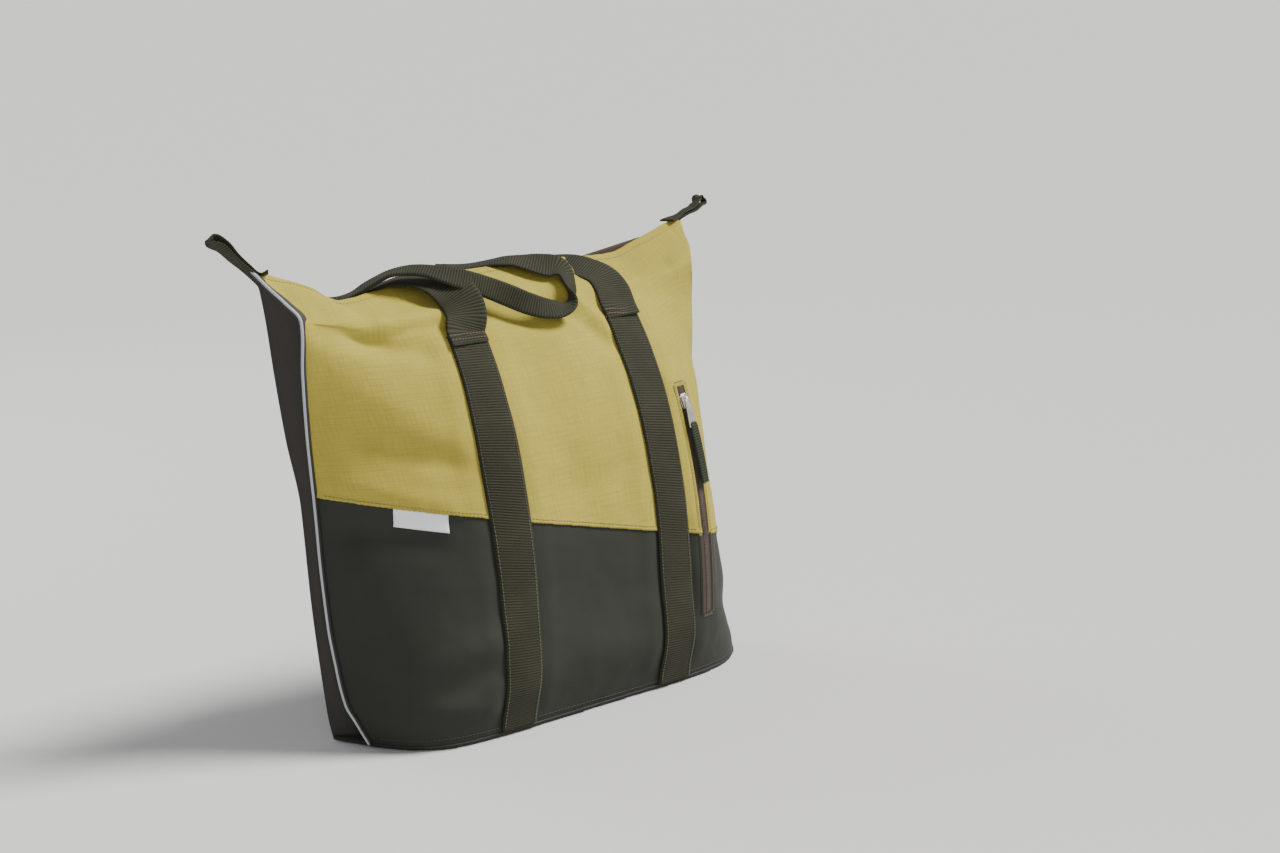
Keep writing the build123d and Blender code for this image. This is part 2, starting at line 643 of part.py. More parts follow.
with BuildPart() as stabiliser_hook:
    with BuildSketch(Plane.XZ.offset(-(CARRIAGE_FRONT + 0.3))):
        with Locations((STABILISER_X, LOWER_RAIL_Z)):
            Circle(11)
        with Locations((STABILISER_X + 10, LOWER_RAIL_Z)):
            Rectangle(20, 16)
        with Locations((STABILISER_X, LOWER_RAIL_Z)):
            Circle(SCREW_RADIUS + RUNNING, mode=Mode.SUBTRACT)
    extrude(amount=-3.6)
    with BuildSketch(Plane.XY.offset(LOWER_RAIL_Z - 8)):
        with Locations((STRUT_X, STRUT_Y)):
            Circle(STRUT_RADIUS + 3.6)
        with Locations((STRUT_X - 8, CARRIAGE_FRONT + 2.1)):
            Rectangle(16, 3.6)
        with Locations((STRUT_X, STRUT_Y)):
            Circle(STRUT_RADIUS, mode=Mode.SUBTRACT)
        with Locations((STRUT_X - 12, STRUT_Y + 3)):
            Rectangle(24, 2 * STRUT_RADIUS - 3, mode=Mode.SUBTRACT)
    extrude(amount=16)
keep(stabiliser_hook, "stabiliser_hook")

with BuildPart() as stabiliser_screw:
    with BuildSketch(Plane.XZ.offset(-(CARRIAGE_FRONT - 2.5))):
        with Locations((STABILISER_X, LOWER_RAIL_Z)):
            Circle(SCREW_RADIUS)
    extrude(amount=-6.6)
    with BuildSketch(Plane.XZ.offset(-(CARRIAGE_FRONT + 4.1))):
        with Locations((STABILISER_X, LOWER_RAIL_Z)):
            Circle(4.5)
    extrude(amount=-2)
keep(stabiliser_screw, "stabiliser_screw")
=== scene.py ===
"""Looks for the pannier bag: a slack fabric shell, ribbed webbing, zips, piping and rack hooks.

Every size is in millimetres until a mesh is made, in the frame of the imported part: +Z up, the front
face looks along -Y, and -X is the end that points to the back of the bicycle.
"""
import math

import bpy
import numpy as np
from mathutils import Matrix, Vector, noise


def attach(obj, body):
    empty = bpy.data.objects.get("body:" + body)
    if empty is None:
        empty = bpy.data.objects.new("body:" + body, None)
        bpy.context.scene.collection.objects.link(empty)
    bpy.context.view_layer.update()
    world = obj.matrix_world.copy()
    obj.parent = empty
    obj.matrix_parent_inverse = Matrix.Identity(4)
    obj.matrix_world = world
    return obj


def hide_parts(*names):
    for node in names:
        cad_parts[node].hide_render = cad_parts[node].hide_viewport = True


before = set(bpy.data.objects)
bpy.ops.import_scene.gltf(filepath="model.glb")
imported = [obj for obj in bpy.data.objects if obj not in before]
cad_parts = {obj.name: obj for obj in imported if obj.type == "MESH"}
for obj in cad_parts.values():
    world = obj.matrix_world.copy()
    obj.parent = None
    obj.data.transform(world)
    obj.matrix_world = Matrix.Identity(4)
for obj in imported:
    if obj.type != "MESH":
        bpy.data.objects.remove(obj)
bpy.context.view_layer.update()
MM = 0.001


# ------------------------------------------------------------------ camera, light and floor

def add_camera():
    data = bpy.data.cameras.new("camera")
    data.lens = 71.57
    data.sensor_width = 36.0
    camera = bpy.data.objects.new("camera", data)
    azimuth, elevation, roll = math.radians(-37.753), math.radians(10.453), math.radians(-3.783)
    turn = Matrix.Rotation(azimuth, 3, "Z") @ Matrix.Rotation(math.pi / 2 - elevation, 3, "X")
    turn = turn @ Matrix.Rotation(roll, 3, "Z")
    camera.matrix_world = Matrix.Translation((-1.282, -1.806, 0.653)) @ turn.to_4x4()
    bpy.context.scene.collection.objects.link(camera)
    bpy.context.scene.camera = camera


def add_light(kind, name, place, power, size, colour=(1, 1, 1)):
    """A light at a place, aimed at the bag's middle: a sun's size is its angle in degrees."""
    data = bpy.data.lights.new(name, kind)
    data.energy = power
    data.color = colour
    if kind == "SUN":
        data.angle = math.radians(size)
    else:
        data.shape = "DISK"
        data.size = size
    light = bpy.data.objects.new(name, data)
    light.location = place
    light.rotation_euler = (Vector((0, 0, 0.2)) - Vector(place)).to_track_quat("-Z", "Y").to_euler()
    bpy.context.scene.collection.objects.link(light)


def add_stage():
    world = bpy.data.worlds.new("studio")
    world.use_nodes = True
    background = world.node_tree.nodes["Background"]
    background.inputs["Color"].default_value = (1.0, 1.0, 1.0, 1)
    background.inputs["Strength"].default_value = 0.34
    bpy.context.scene.world = world
    add_light("SUN", "key", (1.6, -1.25, 2.6), 6.6, 20, (1.0, 0.985, 0.955))
    add_light("AREA", "fill", (-1.7, -2.3, 0.9), 26, 1.8)
    add_light("AREA", "rim", (-0.6, 2.2, 1.6), 16, 1.4)
    bpy.ops.mesh.primitive_plane_add(size=20000, location=(0, 0, -0.0004))
    floor = bpy.context.object
    floor.name = "floor"
    paint = bpy.data.materials.new("floor_paint")
    paint.use_nodes = True
    shader = paint.node_tree.nodes["Principled BSDF"]
    shader.inputs["Base Color"].default_value = (0.56, 0.56, 0.56, 1)
    shader.inputs["Roughness"].default_value = 0.8
    shader.inputs["Specular IOR Level"].default_value = 0.1
    floor.data.materials.append(paint)


add_camera()
add_stage()


# ------------------------------------------------------------------ node materials

class Nodes:
    """Builds one material's node tree with short calls."""

    def __init__(self, name):
        self.material = bpy.data.materials.new(name)
        self.material.use_nodes = True
        self.tree = self.material.node_tree
        self.shader = self.tree.nodes["Principled BSDF"]

    def add(self, kind, inputs=None, **settings):
        made = self.tree.nodes.new("ShaderNode" + kind)
        for key, value in settings.items():
            setattr(made, key, value)
        for key, value in (inputs or {}).items():
            self.put(made.inputs[key], value)
        return made

    def put(self, socket, value):
        if isinstance(value, bpy.types.NodeSocket):
            self.tree.links.new(value, socket)
        elif isinstance(value, bpy.types.Node):
            self.tree.links.new(value.outputs[0], socket)
        else:
            socket.default_value = value

    def math(self, operation, a, b=0.0, c=0.0):
        return self.add("Math", {0: a, 1: b, 2: c}, operation=operation).outputs[0]

    def mix(self, amount, a, b, blend="MIX"):
        made = self.add("Mix", {0: amount}, data_type="RGBA", blend_type=blend)
        self.put(made.inputs[6], a)
        self.put(made.inputs[7], b)
        return made.outputs[2]

    def noise(self, vector, scale, detail=2.0, rough=0.5):
        made = self.add("TexNoise", {"Scale": scale, "Detail": detail, "Roughness": rough})
        self.put(made.inputs["Vector"], vector)
        return made.outputs[0]

    def ramp(self, value, low, high, to_low=0.0, to_high=1.0):
        made = self.add("MapRange", {"Value": value, 1: low, 2: high, 3: to_low, 4: to_high})
        return made.outputs[0]

    def wave(self, coordinate, pitch):
        """0..1 along a coordinate, one full ridge every pitch."""
        angle = self.math("MULTIPLY", coordinate, 2 * math.pi / pitch)
        return self.math("MULTIPLY_ADD", self.math("SINE", angle), 0.5, 0.5)

    def bump(self, height, strength, distance, under=None):
        made = self.add("Bump", {"Strength": strength, "Distance": distance})
        self.put(made.inputs["Height"], height)
        if under is not None:
            self.put(made.inputs["Normal"], under)
        return made.outputs[0]

    def uv(self):
        split = self.add("SeparateXYZ")
        self.put(split.inputs[0], self.add("UVMap").outputs[0])
        return split.outputs[0], split.outputs[1]

    def scaled(self, u, v, across, along):
        """A place on the cloth, with its own scale each way."""
        u, v = self.math("MULTIPLY", u, across), self.math("MULTIPLY", v, along)
        return self.add("CombineXYZ", {0: u, 1: v})

    def place(self):
        return self.add("TexCoord").outputs["Object"]

    def finish(self, **inputs):
        for key, value in inputs.items():
            self.put(self.shader.inputs[key.replace("_", " ")], value)
        return self.material


def rgb(red, green, blue):
    return (red, green, blue, 1.0)


def toned(colour, times, plus=0.0):
    """The colour made darker or lighter."""
    return rgb(*[min(1.0, times * channel + plus) for channel in colour[:3]])


RIB_PITCH = 2.4             # from one rib of the webbing to the next


def woven(name, colour, shade, thread, rough=0.85, sheen=0.05, grid=0.0, relief=0.00012, slub=0.25):
    """Plain-weave cloth in UV metres, with an optional ripstop grid of heavier threads."""
    n = Nodes(name)
    u, v = n.uv()
    warp = n.wave(u, 2 * thread)
    weft = n.wave(v, 2 * thread)
    over = n.math("MULTIPLY", n.math("SUBTRACT", warp, 0.5), n.math("SUBTRACT", weft, 0.5))
    height = n.math("MULTIPLY_ADD", over, 2.0, 0.5)
    weft_slubs = n.noise(n.scaled(u, v, 40.0, 900.0), 1.0)
    warp_slubs = n.noise(n.scaled(u, v, 900.0, 40.0), 1.0)
    streak = n.math("ADD", weft_slubs, warp_slubs)
    tone = n.ramp(streak, 0.75, 1.25, 0.0, 1.0)
    cloud = n.noise(n.place(), 14.0, 3.0)
    colours = n.mix(n.math("MULTIPLY", tone, slub), colour, shade)
    colours = n.mix(n.ramp(cloud, 0.35, 0.7, 0.0, 0.35), colours, shade)
    colours = n.mix(n.math("MULTIPLY", height, 0.22), colours, shade)
    if grid:
        lines = n.math("MAXIMUM", n.ramp(n.wave(u, grid), 0.93, 1.0), n.ramp(n.wave(v, grid), 0.93, 1.0))
        height = n.math("MULTIPLY_ADD", lines, 0.7, height)
        colours = n.mix(n.math("MULTIPLY", lines, 0.28), colours, shade)
    fine = n.bump(n.noise(n.place(), 2600.0, 1.0), 0.25, 0.0001)
    normal = n.bump(height, 0.8, relief, fine)
    return n.finish(Base_Color=colours, Roughness=n.ramp(tone, 0, 1, rough, rough - 0.12), Normal=normal,
                    Specular_IOR_Level=0.2, Sheen_Weight=sheen, Sheen_Roughness=0.4)


def ribbed(name, colour, shade, wear_and_rib_highlight):
    """Webbing: the ribs are modelled; the yarn, its wear, painted shade in the grooves and a painted
    highlight on the rib tops are in the material.
    """
    n = Nodes(name)
    u, v = n.uv()
    yarn = n.wave(n.math("ADD", u, n.math("MULTIPLY", v, 0.35)), 0.0011)
    tone = n.noise(n.scaled(u, v, 700.0, 420.0), 1.0, 2.0)
    colours = n.mix(n.ramp(tone, 0.4, 0.65, 0.0, 0.75), colour, shade)
    colours = n.mix(n.ramp(n.noise(n.place(), 30.0, 3.0), 0.45, 0.75, 0.0, 0.4), colours, wear_and_rib_highlight)
    ribs = n.wave(n.math("ADD", v, RIB_PITCH * MM / 4), RIB_PITCH * MM)
    # Painted shade: the grooves between the ribs go darker, toward a dark copy of the shade colour.
    colours = n.mix(n.ramp(ribs, 0.55, 0.05, 0.0, 0.7), colours, toned(shade, 0.3))
    # Painted highlight, partly wear: the rib tops go lighter, toward the wear colour.
    colours = n.mix(n.ramp(ribs, 0.6, 1.0, 0.0, 0.35), colours, wear_and_rib_highlight)
    fuzz = n.bump(n.noise(n.place(), 3200.0, 1.0), 0.5, 0.0001)
    return n.finish(Base_Color=colours, Roughness=0.78, Normal=n.bump(yarn, 0.6, 0.00018, fuzz),
                    Specular_IOR_Level=0.16, Sheen_Weight=0.03, Sheen_Roughness=0.5)


def moulded(name, colour, rough=0.5, grain=0.00006):
    n = Nodes(name)
    tone = n.noise(n.place(), 45.0, 3.0)
    scuffs = n.ramp(n.noise(n.place(), 900.0, 2.0), 0.58, 0.72)
    colours = n.mix(n.ramp(tone, 0.35, 0.75, 0.0, 0.25), colour, toned(colour, 2.2, 0.02))
    edge = n.add("Bevel", {"Radius": 0.0008}, samples=6).outputs[0]
    normal = n.bump(n.noise(n.place(), 1500.0, 2.0), 0.35, grain, edge)
    return n.finish(Base_Color=colours, Roughness=n.ramp(scuffs, 0, 1, rough, rough + 0.18), Normal=normal,
                    Specular_IOR_Level=0.45)


def metal(name, colour, rough=0.28):
    n = Nodes(name)
    scratch = n.noise(n.add("Mapping", {"Vector": n.place(), "Scale": (300, 2500, 2500)}), 1.0, 3.0)
    tarnish = n.noise(n.place(), 160.0, 3.0)
    colours = n.mix(n.ramp(tarnish, 0.5, 0.8, 0.0, 0.6), colour, toned(colour, 0.45))
    edge = n.add("Bevel", {"Radius": 0.0004}, samples=6).outputs[0]
    return n.finish(Base_Color=colours, Metallic=1.0, Roughness=n.ramp(scratch, 0.3, 0.7, rough, rough + 0.2),
                    Normal=n.bump(scratch, 0.15, 0.00005, edge))


def thread(name, colour):
    n = Nodes(name)
    tone = n.noise(n.place(), 2500.0, 1.0)
    colours = n.mix(n.ramp(tone, 0.4, 0.6, 0.0, 0.5), colour, toned(colour, 0.5))
    return n.finish(Base_Color=colours, Roughness=0.7, Sheen_Weight=0.2)


YELLOW = woven("yellow_ripstop", rgb(0.41, 0.338, 0.058), rgb(0.25, 0.208, 0.032), thread=0.0007, grid=0.0052,
               rough=0.9, sheen=0.0, slub=0.5)
OLIVE = woven("coated_olive", rgb(0.026, 0.028, 0.0215), rgb(0.017, 0.0185, 0.014), thread=0.0006, rough=0.78,
              sheen=0.03, relief=0.00005)
GREY = woven("gusset_grey", rgb(0.046, 0.042, 0.037), rgb(0.031, 0.029, 0.026), thread=0.0007)
ZIP_TAPE = woven("zip_tape", rgb(0.060, 0.044, 0.032), rgb(0.034, 0.025, 0.019), thread=0.0006)
SILVER = woven("reflective_piping", rgb(0.38, 0.405, 0.415), rgb(0.29, 0.315, 0.33), thread=0.0006,
               rough=0.45, sheen=0.0)
LABEL = woven("label_weave", rgb(0.80, 0.81, 0.82), rgb(0.66, 0.67, 0.69), thread=0.0005, rough=0.6,
              sheen=0.0)
# The third colour of each webbing is its wear and the painted highlight on its rib tops.
WEBBING = ribbed("webbing", rgb(0.0265, 0.0275, 0.0155), rgb(0.0155, 0.0165, 0.009), rgb(0.053, 0.052, 0.031))
RIBBON = ribbed("ribbon_webbing", rgb(0.026, 0.034, 0.019), rgb(0.014, 0.019, 0.011),
                rgb(0.055, 0.064, 0.04))
ZIP_COIL = moulded("zip_coil", rgb(0.055, 0.040, 0.030), rough=0.42)
NICKEL = metal("nickel", rgb(0.70, 0.68, 0.64))
STEEL = metal("zinc_steel", rgb(0.56, 0.56, 0.57), rough=0.35)
BLACK = moulded("black_nylon", rgb(0.014, 0.014, 0.015))
DARK_GREY = moulded("grey_nylon", rgb(0.09, 0.095, 0.10))
SHEET = moulded("pe_sheet", rgb(0.030, 0.030, 0.030), rough=0.6)
# Near black: the base's seam cord, and the painted shadow lines beside the piping cord.
SEAM_TAPE_AND_SHADOW = moulded("seam_tape_and_shadow", rgb(0.016, 0.015, 0.014), rough=0.75)
OLIVE_THREAD = thread("olive_thread", rgb(0.085, 0.083, 0.033))
YELLOW_THREAD = thread("yellow_thread", rgb(0.27, 0.205, 0.05))
BROWN_THREAD = thread("brown_thread", rgb(0.17, 0.085, 0.06))
DARK_THREAD = thread("dark_thread", rgb(0.05, 0.045, 0.035))


# ------------------------------------------------------------------ mesh helpers

def smooth_curve(*points):
    """A smooth function through (t, value) points that doesn't overshoot, flat past its ends."""
    ts = np.array([p[0] for p in points], float)
    ys = np.array([p[1] for p in points], float)
    steps = np.diff(ts)
    slopes = np.diff(ys) / steps
    tangents = np.zeros(len(ts))
    tangents[1:-1] = np.where(slopes[:-1] * slopes[1:] > 0,
                              2 * slopes[:-1] * slopes[1:] / (slopes[:-1] + slopes[1:] + 1e-12), 0.0)
    tangents[0], tangents[-1] = slopes[0], slopes[-1]

    def at(t):
        t = np.clip(np.asarray(t, float), ts[0], ts[-1])
        i = np.clip(np.searchsorted(ts, t, side="right") - 1, 0, len(ts) - 2)
        h = steps[i]
        s = (t - ts[i]) / h
        return ((1 + 2 * s) * (1 - s) ** 2 * ys[i] + s * (1 - s) ** 2 * h * tangents[i]
                + s * s * (3 - 2 * s) * ys[i + 1] + s * s * (s - 1) * h * tangents[i + 1])
    return at


def new_piece(name, vertices, faces, material, uvs):
    """A mesh object from millimetre vertices; uvs is one (u, v) in metres for each vertex."""
    mesh = bpy.data.meshes.new(name)
    mesh.from_pydata([tuple(float(c) * MM for c in v) for v in vertices], [], faces)
    mesh.update()
    layer = mesh.uv_layers.new(name="UVMap")
    index = np.empty(len(mesh.loops), dtype=np.int32)
    mesh.loops.foreach_get("vertex_index", index)
    layer.data.foreach_set("uv", np.asarray(uvs, dtype=np.float32)[index].ravel())
    mesh.polygons.foreach_set("use_smooth", [True] * len(mesh.polygons))
    piece = bpy.data.objects.new(name, mesh)
    bpy.context.scene.collection.objects.link(piece)
    mesh.materials.append(material)
    return piece


def grid_faces(rows, columns, flip=False):
    faces = []
    for i in range(rows - 1):
        for j in range(columns - 1):
            a = i * columns + j
            face = (a, a + 1, a + 1 + columns, a + columns)
            faces.append(face[::-1] if flip else face)
    return faces


def cloth_piece(name, points, uvs, material, thickness, flip=False):
    """A sheet of cloth from a grid of points, with its thickness on the inner side."""
    faces = grid_faces(*points.shape[:2], flip)
    return thicken(new_piece(name, points.reshape(-1, 3), faces, material, uvs.reshape(-1, 2)), thickness)


def thicken(piece, thickness):
    solid = piece.modifiers.new("thickness", "SOLIDIFY")
    solid.thickness = thickness * MM
    solid.offset = -1
    return piece


def tube_piece(name, rings, material):
    """A closed skin through rings of points, all with the same count."""
    rings = np.asarray(rings, float)
    count, around = rings.shape[:2]
    vertices = rings.reshape(-1, 3)
    faces = []
    for i in range(count - 1):
        for j in range(around):
            k = (j + 1) % around
            a, b = i * around, (i + 1) * around
            faces.append((a + j, a + k, b + k, b + j))
    faces.append(tuple(reversed(range(around))))
    faces.append(tuple(range((count - 1) * around, count * around)))
    centre = rings.mean(axis=1)
    along = np.r_[0, np.cumsum(np.linalg.norm(np.diff(centre, axis=0), axis=1))]
    round_about = np.r_[0, np.cumsum(np.linalg.norm(np.diff(rings[0], axis=0), axis=1))]
    uvs = np.stack(np.meshgrid(along * MM, round_about * MM, indexing="ij"), -1)[..., ::-1]
    return new_piece(name, vertices, faces, material, uvs.reshape(-1, 2))


def frames_along(path, across):
    """Unit tangent, across and normal at each point of a path."""
    tangent = np.gradient(path, axis=0)
    tangent /= np.linalg.norm(tangent, axis=1, keepdims=True)
    across = across - tangent * np.sum(across * tangent, axis=1, keepdims=True)
    across /= np.linalg.norm(across, axis=1, keepdims=True)
    return tangent, across, np.cross(tangent, across)


def round_tube(name, path, radius, material, sides=10, guide=(0.1, 1.0, 0.15)):
    """A round cord along a path; guide is a direction that the path never runs along."""
    path = np.asarray(path, float)
    _, across, normal = frames_along(path, np.tile(guide, (len(path), 1)))
    angles = np.linspace(0, 2 * math.pi, sides, endpoint=False)
    rings = np.stack([path + radius * (math.cos(a) * across + math.sin(a) * normal) for a in angles], axis=1)
    return tube_piece(name, rings, material)


def resample(path, step):
    """Even points along a polyline, and the fraction of its length at each."""
    path = np.asarray(path, float)
    lengths = np.r_[0, np.cumsum(np.linalg.norm(np.diff(path[:, :3], axis=0), axis=1))]
    count = max(2, int(round(lengths[-1] / step)) + 1)
    even = np.linspace(0, lengths[-1], count)
    return np.stack([np.interp(even, lengths, path[:, k]) for k in range(path.shape[1])], axis=1)


STITCH_RINGS = ((0.0, 0.5, -0.25), (0.2, 1.0, 0.1), (0.5, 1.05, 0.22), (0.8, 1.0, 0.1), (1.0, 0.5, -0.25))
STITCH_TURNS = [math.radians(angle) for angle in (20, 90, 160, 250, 290)]
STITCH_LIFT = 0.12


def stitch_row(path, normals, length=2.6, gap=1.1, width=0.55):
    """Vertices and faces of a row of stitches: small rounded bars lying on the cloth."""
    path = np.asarray(path, float)
    normals = np.asarray(normals, float)
    joined = resample(np.hstack([path, normals]), length + gap)
    vertices, faces = [], []
    for i in range(len(joined) - 1):
        a, b = joined[i, :3], joined[i + 1, :3]
        along = b - a
        reach = np.linalg.norm(along)
        along = along / reach
        normal = joined[i, 3:] / np.linalg.norm(joined[i, 3:])
        side = np.cross(along, normal)
        b = a + along * min(length, reach)
        start = len(vertices)
        for share, size, rise in STITCH_RINGS:
            centre = a + (b - a) * share + normal * (STITCH_LIFT + rise * width)
            for turn in STITCH_TURNS:
                spoke = math.cos(turn) * side + math.sin(turn) * normal
                vertices.append(centre + size * width * 0.5 * spoke)
        for ring in range(4):
            for k in range(5):
                p = start + ring * 5 + k
                q = start + ring * 5 + (k + 1) % 5
                faces.append((p, q, q + 5, p + 5))
        faces.append(tuple(start + k for k in reversed(range(5))))
        faces.append(tuple(start + 20 + k for k in range(5)))
    return vertices, faces


def hand_over(piece, body, slot, *nodes):
    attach(piece, body)
    if nodes:
        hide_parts(*nodes)


def sew(name, rows, material, slot, **sizes):
    """All the stitches of some rows as one piece on the bag; a row is its points and its normals."""
    vertices, faces = [], []
    for path, normals in rows:
        more_vertices, more_faces = stitch_row(path, normals, **sizes)
        faces += [tuple(i + len(vertices) for i in face) for face in more_faces]
        vertices += more_vertices
    hand_over(new_piece(name, vertices, faces, material, np.zeros((len(vertices), 2))), "bag", slot)


def row_on_back(points):
    """A row of stitches whose cloth faces +Y."""
    points = np.asarray(points, float)
    return points, np.tile((0, 1, 0), (len(points), 1))


# ------------------------------------------------------------------ the bag's own surface

BACK = 54.6                 # outer face of the back panel
BASE_RIM = 3.2              # the front face starts here, above the base's rim
ROLL = 340.0                # above this height the front face rolls back to the hem
CROWN = 412.0               # the roll's height, before it is fitted to the hem
SEAM_MIDDLE = 169.0         # height of the slanted colour seam at x = 0
SEAM_SLOPE = -0.247

# The bag's outline: (level, value) points, where the level is the height, up to the roll at the top.
rear_x = smooth_curve((2, -189.4), (23, -197), (38, -201), (68, -203.5), (110, -207.5), (171, -208.6),
                      (220, -209.6), (272, -215), (329, -220), (376, -223.3), (389, -229), (399, -233.5),
                      (412, -239))
front_x = smooth_curve((2, 214), (30, 216.5), (60, 215), (100, 210), (150, 205), (200, 202), (300, 202),
                       (376, 197), (392, 206.5), (412, 221))
rear_edge_y = smooth_curve((2, 10), (23, 17), (38, 25), (68, 30.5), (110, 32), (171, 34), (220, 33),
                           (272, 26), (329, 16), (376, 7), (389, 20), (399, 35), (412, 53))
front_edge_y = smooth_curve((2, 6), (23, 14), (38, 22), (68, 30), (110, 32), (171, 34), (220, 33), (272, 26),
                            (329, 18), (376, 10), (389, 20), (399, 35), (412, 53))
belly_y = smooth_curve((5, -50), (60, -66), (140, -67.5), (220, -61), (300, -37), (350, -9), (378, 8),
                       (394, 27), (412, 51.5))
# How square the front is on each side of its middle: a high power keeps its depth out to the edge.
rear_square = smooth_curve((0, 8), (120, 3.9), (250, 2.7), (378, 3.2))
front_square = smooth_curve((0, 7), (120, 6.5), (250, 5.5), (378, 2.4))
# The hem's height along the bag, from the rear ear to the front ear.
hem_z = smooth_curve((-239, 416), (-186, 395.5), (-156, 380), (-121, 383.5), (-100, 385.5), (-9, 390),
                     (35, 390), (133, 385), (168, 394), (217, 409))


def seam_z(x):
    return SEAM_MIDDLE + SEAM_SLOPE * x


ZIP_TURN = math.radians(13.5)               # the pocket zip's arc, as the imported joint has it
ZIP_ACROSS = np.array([math.cos(ZIP_TURN), math.sin(ZIP_TURN), 0.0])
ZIP_OUT = np.array([math.sin(ZIP_TURN), -math.cos(ZIP_TURN), 0.0])
ZIP_RADIUS = 637.0
ZIP_CENTRE = np.array([134.5, -57.6, 117.3]) - ZIP_OUT * ZIP_RADIUS
ZIP_LOW, ZIP_HIGH = 62.0, 272.0
ZIP_FABRIC = 3.0                            # how far the fabric stands off the arc


def zip_frame(z, out=0.0):
    """A point on the pocket zip's arc at height z, and the arc's outward normal there."""
    angle = np.arcsin((np.asarray(z, float) - ZIP_CENTRE[2]) / ZIP_RADIUS)
    normal = np.multiply.outer(np.cos(angle), ZIP_OUT) + np.multiply.outer(np.sin(angle), (0.0, 0.0, 1.0))
    return ZIP_CENTRE + normal * (ZIP_RADIUS + np.asarray(out))[..., None] if np.ndim(out) else (
        ZIP_CENTRE + normal * (ZIP_RADIUS + out)), normal


def toward_zip(x, y, level):
    """Eases the face onto the zip's flat strip around the zip."""
    point, _ = zip_frame(np.clip(level, 20, 330), ZIP_FABRIC)
    strip_y = point[..., 1] + (x - point[..., 0]) * math.tan(ZIP_TURN)
    near = np.exp(-((x - point[..., 0]) / 17.0) ** 4)
    tall = np.clip((level - 22) / 40, 0, 1) * np.clip((300 - level) / 28, 0, 1)
    tall = tall * tall * (3 - 2 * tall)
    return y + (strip_y - y) * near * tall


# Soft folds in the front face: from (x, z) to (x, z), half width and height, all in mm. Valleys are negative.
FOLDS = [
    (-222, 372, -150, 352, 15, -5.0),
    (-205, 392, -150, 372, 9, 3.0),
    (-165, 355, -120, 338, 12, -3.0),
    (-140, 372, -60, 366, 7, 1.8),
    (-130, 360, -70, 358, 6, -1.6),
    (-175, 262, -120, 244, 13, -4.0),
    (-190, 232, -128, 208, 11, 2.6),
    (-160, 300, -130, 270, 20, 1.6),
    (-50, 372, -8, 352, 10, -2.2),
    (-40, 340, 10, 330, 12, 1.2),
    (25, 366, 62, 322, 9, -2.2),
    (48, 372, 72, 330, 7, 1.8),
    (110, 384, 170, 376, 6, -1.4),
    (-20, 300, -6, 200, 26, -1.8),
    (20, 260, 30, 180, 22, 1.2),
    (-190, 190, -150, 178, 12, -2.2),
    (-185, 150, -170, 90, 18, 1.4),
    (-160, 72, -112, 88, 13, 2.0),
    (-150, 52, -110, 62, 12, -2.2),
    (-150, 36, -112, 30, 10, 1.6),
    (-30, 120, 30, 100, 24, -1.4),
    (0, 60, 60, 40, 18, 1.2),
    (180, 60, 214, 34, 14, -3.0),
    (165, 320, 190, 290, 16, -1.8),
    (120, 90, 134, 40, 10, -1.4),
]


def fold_height(x, z):
    total = np.zeros_like(x)
    for x0, z0, x1, z1, width, height in FOLDS:
        dx, dz = x1 - x0, z1 - z0
        length = math.hypot(dx, dz)
        along = ((x - x0) * dx + (z - z0) * dz) / length ** 2
        beside = ((x - x0) * dz - (z - z0) * dx) / length
        past = np.maximum(0, np.abs(along - 0.5) - 0.5) * length
        total += height * np.exp(-(beside / width) ** 2 - (past / (1.3 * width)) ** 2)
    return total


def ripple(x, z, wavelength, seed):
    """Smooth unevenness between -1 and 1."""
    places = zip(x.ravel() / wavelength, z.ravel() / wavelength)
    return np.array([noise.noise(Vector((a, b, seed))) for a, b in places]).reshape(x.shape)


def front_surface(u, level):
    """Points of the undisplaced front face; u runs from the rear piping, 0, to the front piping, 1."""
    x_rear, x_front = rear_x(level), front_x(level)
    x = x_rear + (x_front - x_rear) * u
    middle = 0.5 * (rear_x(200.0) + front_x(200.0)) + 6.0
    rear_side = x < middle
    share = np.where(rear_side, (middle - x) / (middle - x_rear), (x - middle) / (x_front - middle))
    power = np.where(rear_side, rear_square(level), front_square(level))
    full = 1 - np.clip(share, 0, 1) ** power
    edge = np.where(rear_side, rear_edge_y(level), front_edge_y(level))
    lean = 9.0 * np.clip((x - middle) / 210, -1, 1) * np.clip((ROLL - level) / 200, 0, 1)
    y = toward_zip(x, edge - (edge - belly_y(level) - lean) * full, level)
    rise = np.clip((level - ROLL) / (CROWN - ROLL), 0, 1)
    z = np.where(level > ROLL, ROLL + rise * (hem_z(x) - ROLL), level)
    return np.stack([x, y, z], axis=-1)


def surface_normals(points):
    du = np.gradient(points, axis=1)
    dv = np.gradient(points, axis=0)
    normal = np.cross(du, dv)
    return normal / (np.linalg.norm(normal, axis=-1, keepdims=True) + 1e-9)


COLUMNS = 231
LOWER_ROWS = 96             # rows of points below the colour seam
UPPER_ROWS = 150
FOLD_SCALE = 1.45
UNEVEN = ((1.7, 62, 3.1), (0.7, 26, 8.4), (0.22, 11, 2.2))      # height, wavelength and seed of small swells


def column_levels(u):
    """Levels down one column, even in length below the seam and above it."""
    dense = np.linspace(BASE_RIM, CROWN, 500)
    points = front_surface(np.full_like(dense, u), dense)
    lengths = np.r_[0, np.cumsum(np.linalg.norm(np.diff(points, axis=0), axis=1))]
    below = points[:, 2] < seam_z(points[:, 0])
    seam = lengths[np.argmin(below)]
    even = np.r_[np.linspace(0, seam, LOWER_ROWS), np.linspace(seam, lengths[-1], UPPER_ROWS)[1:]]
    return np.interp(even, lengths, dense), even


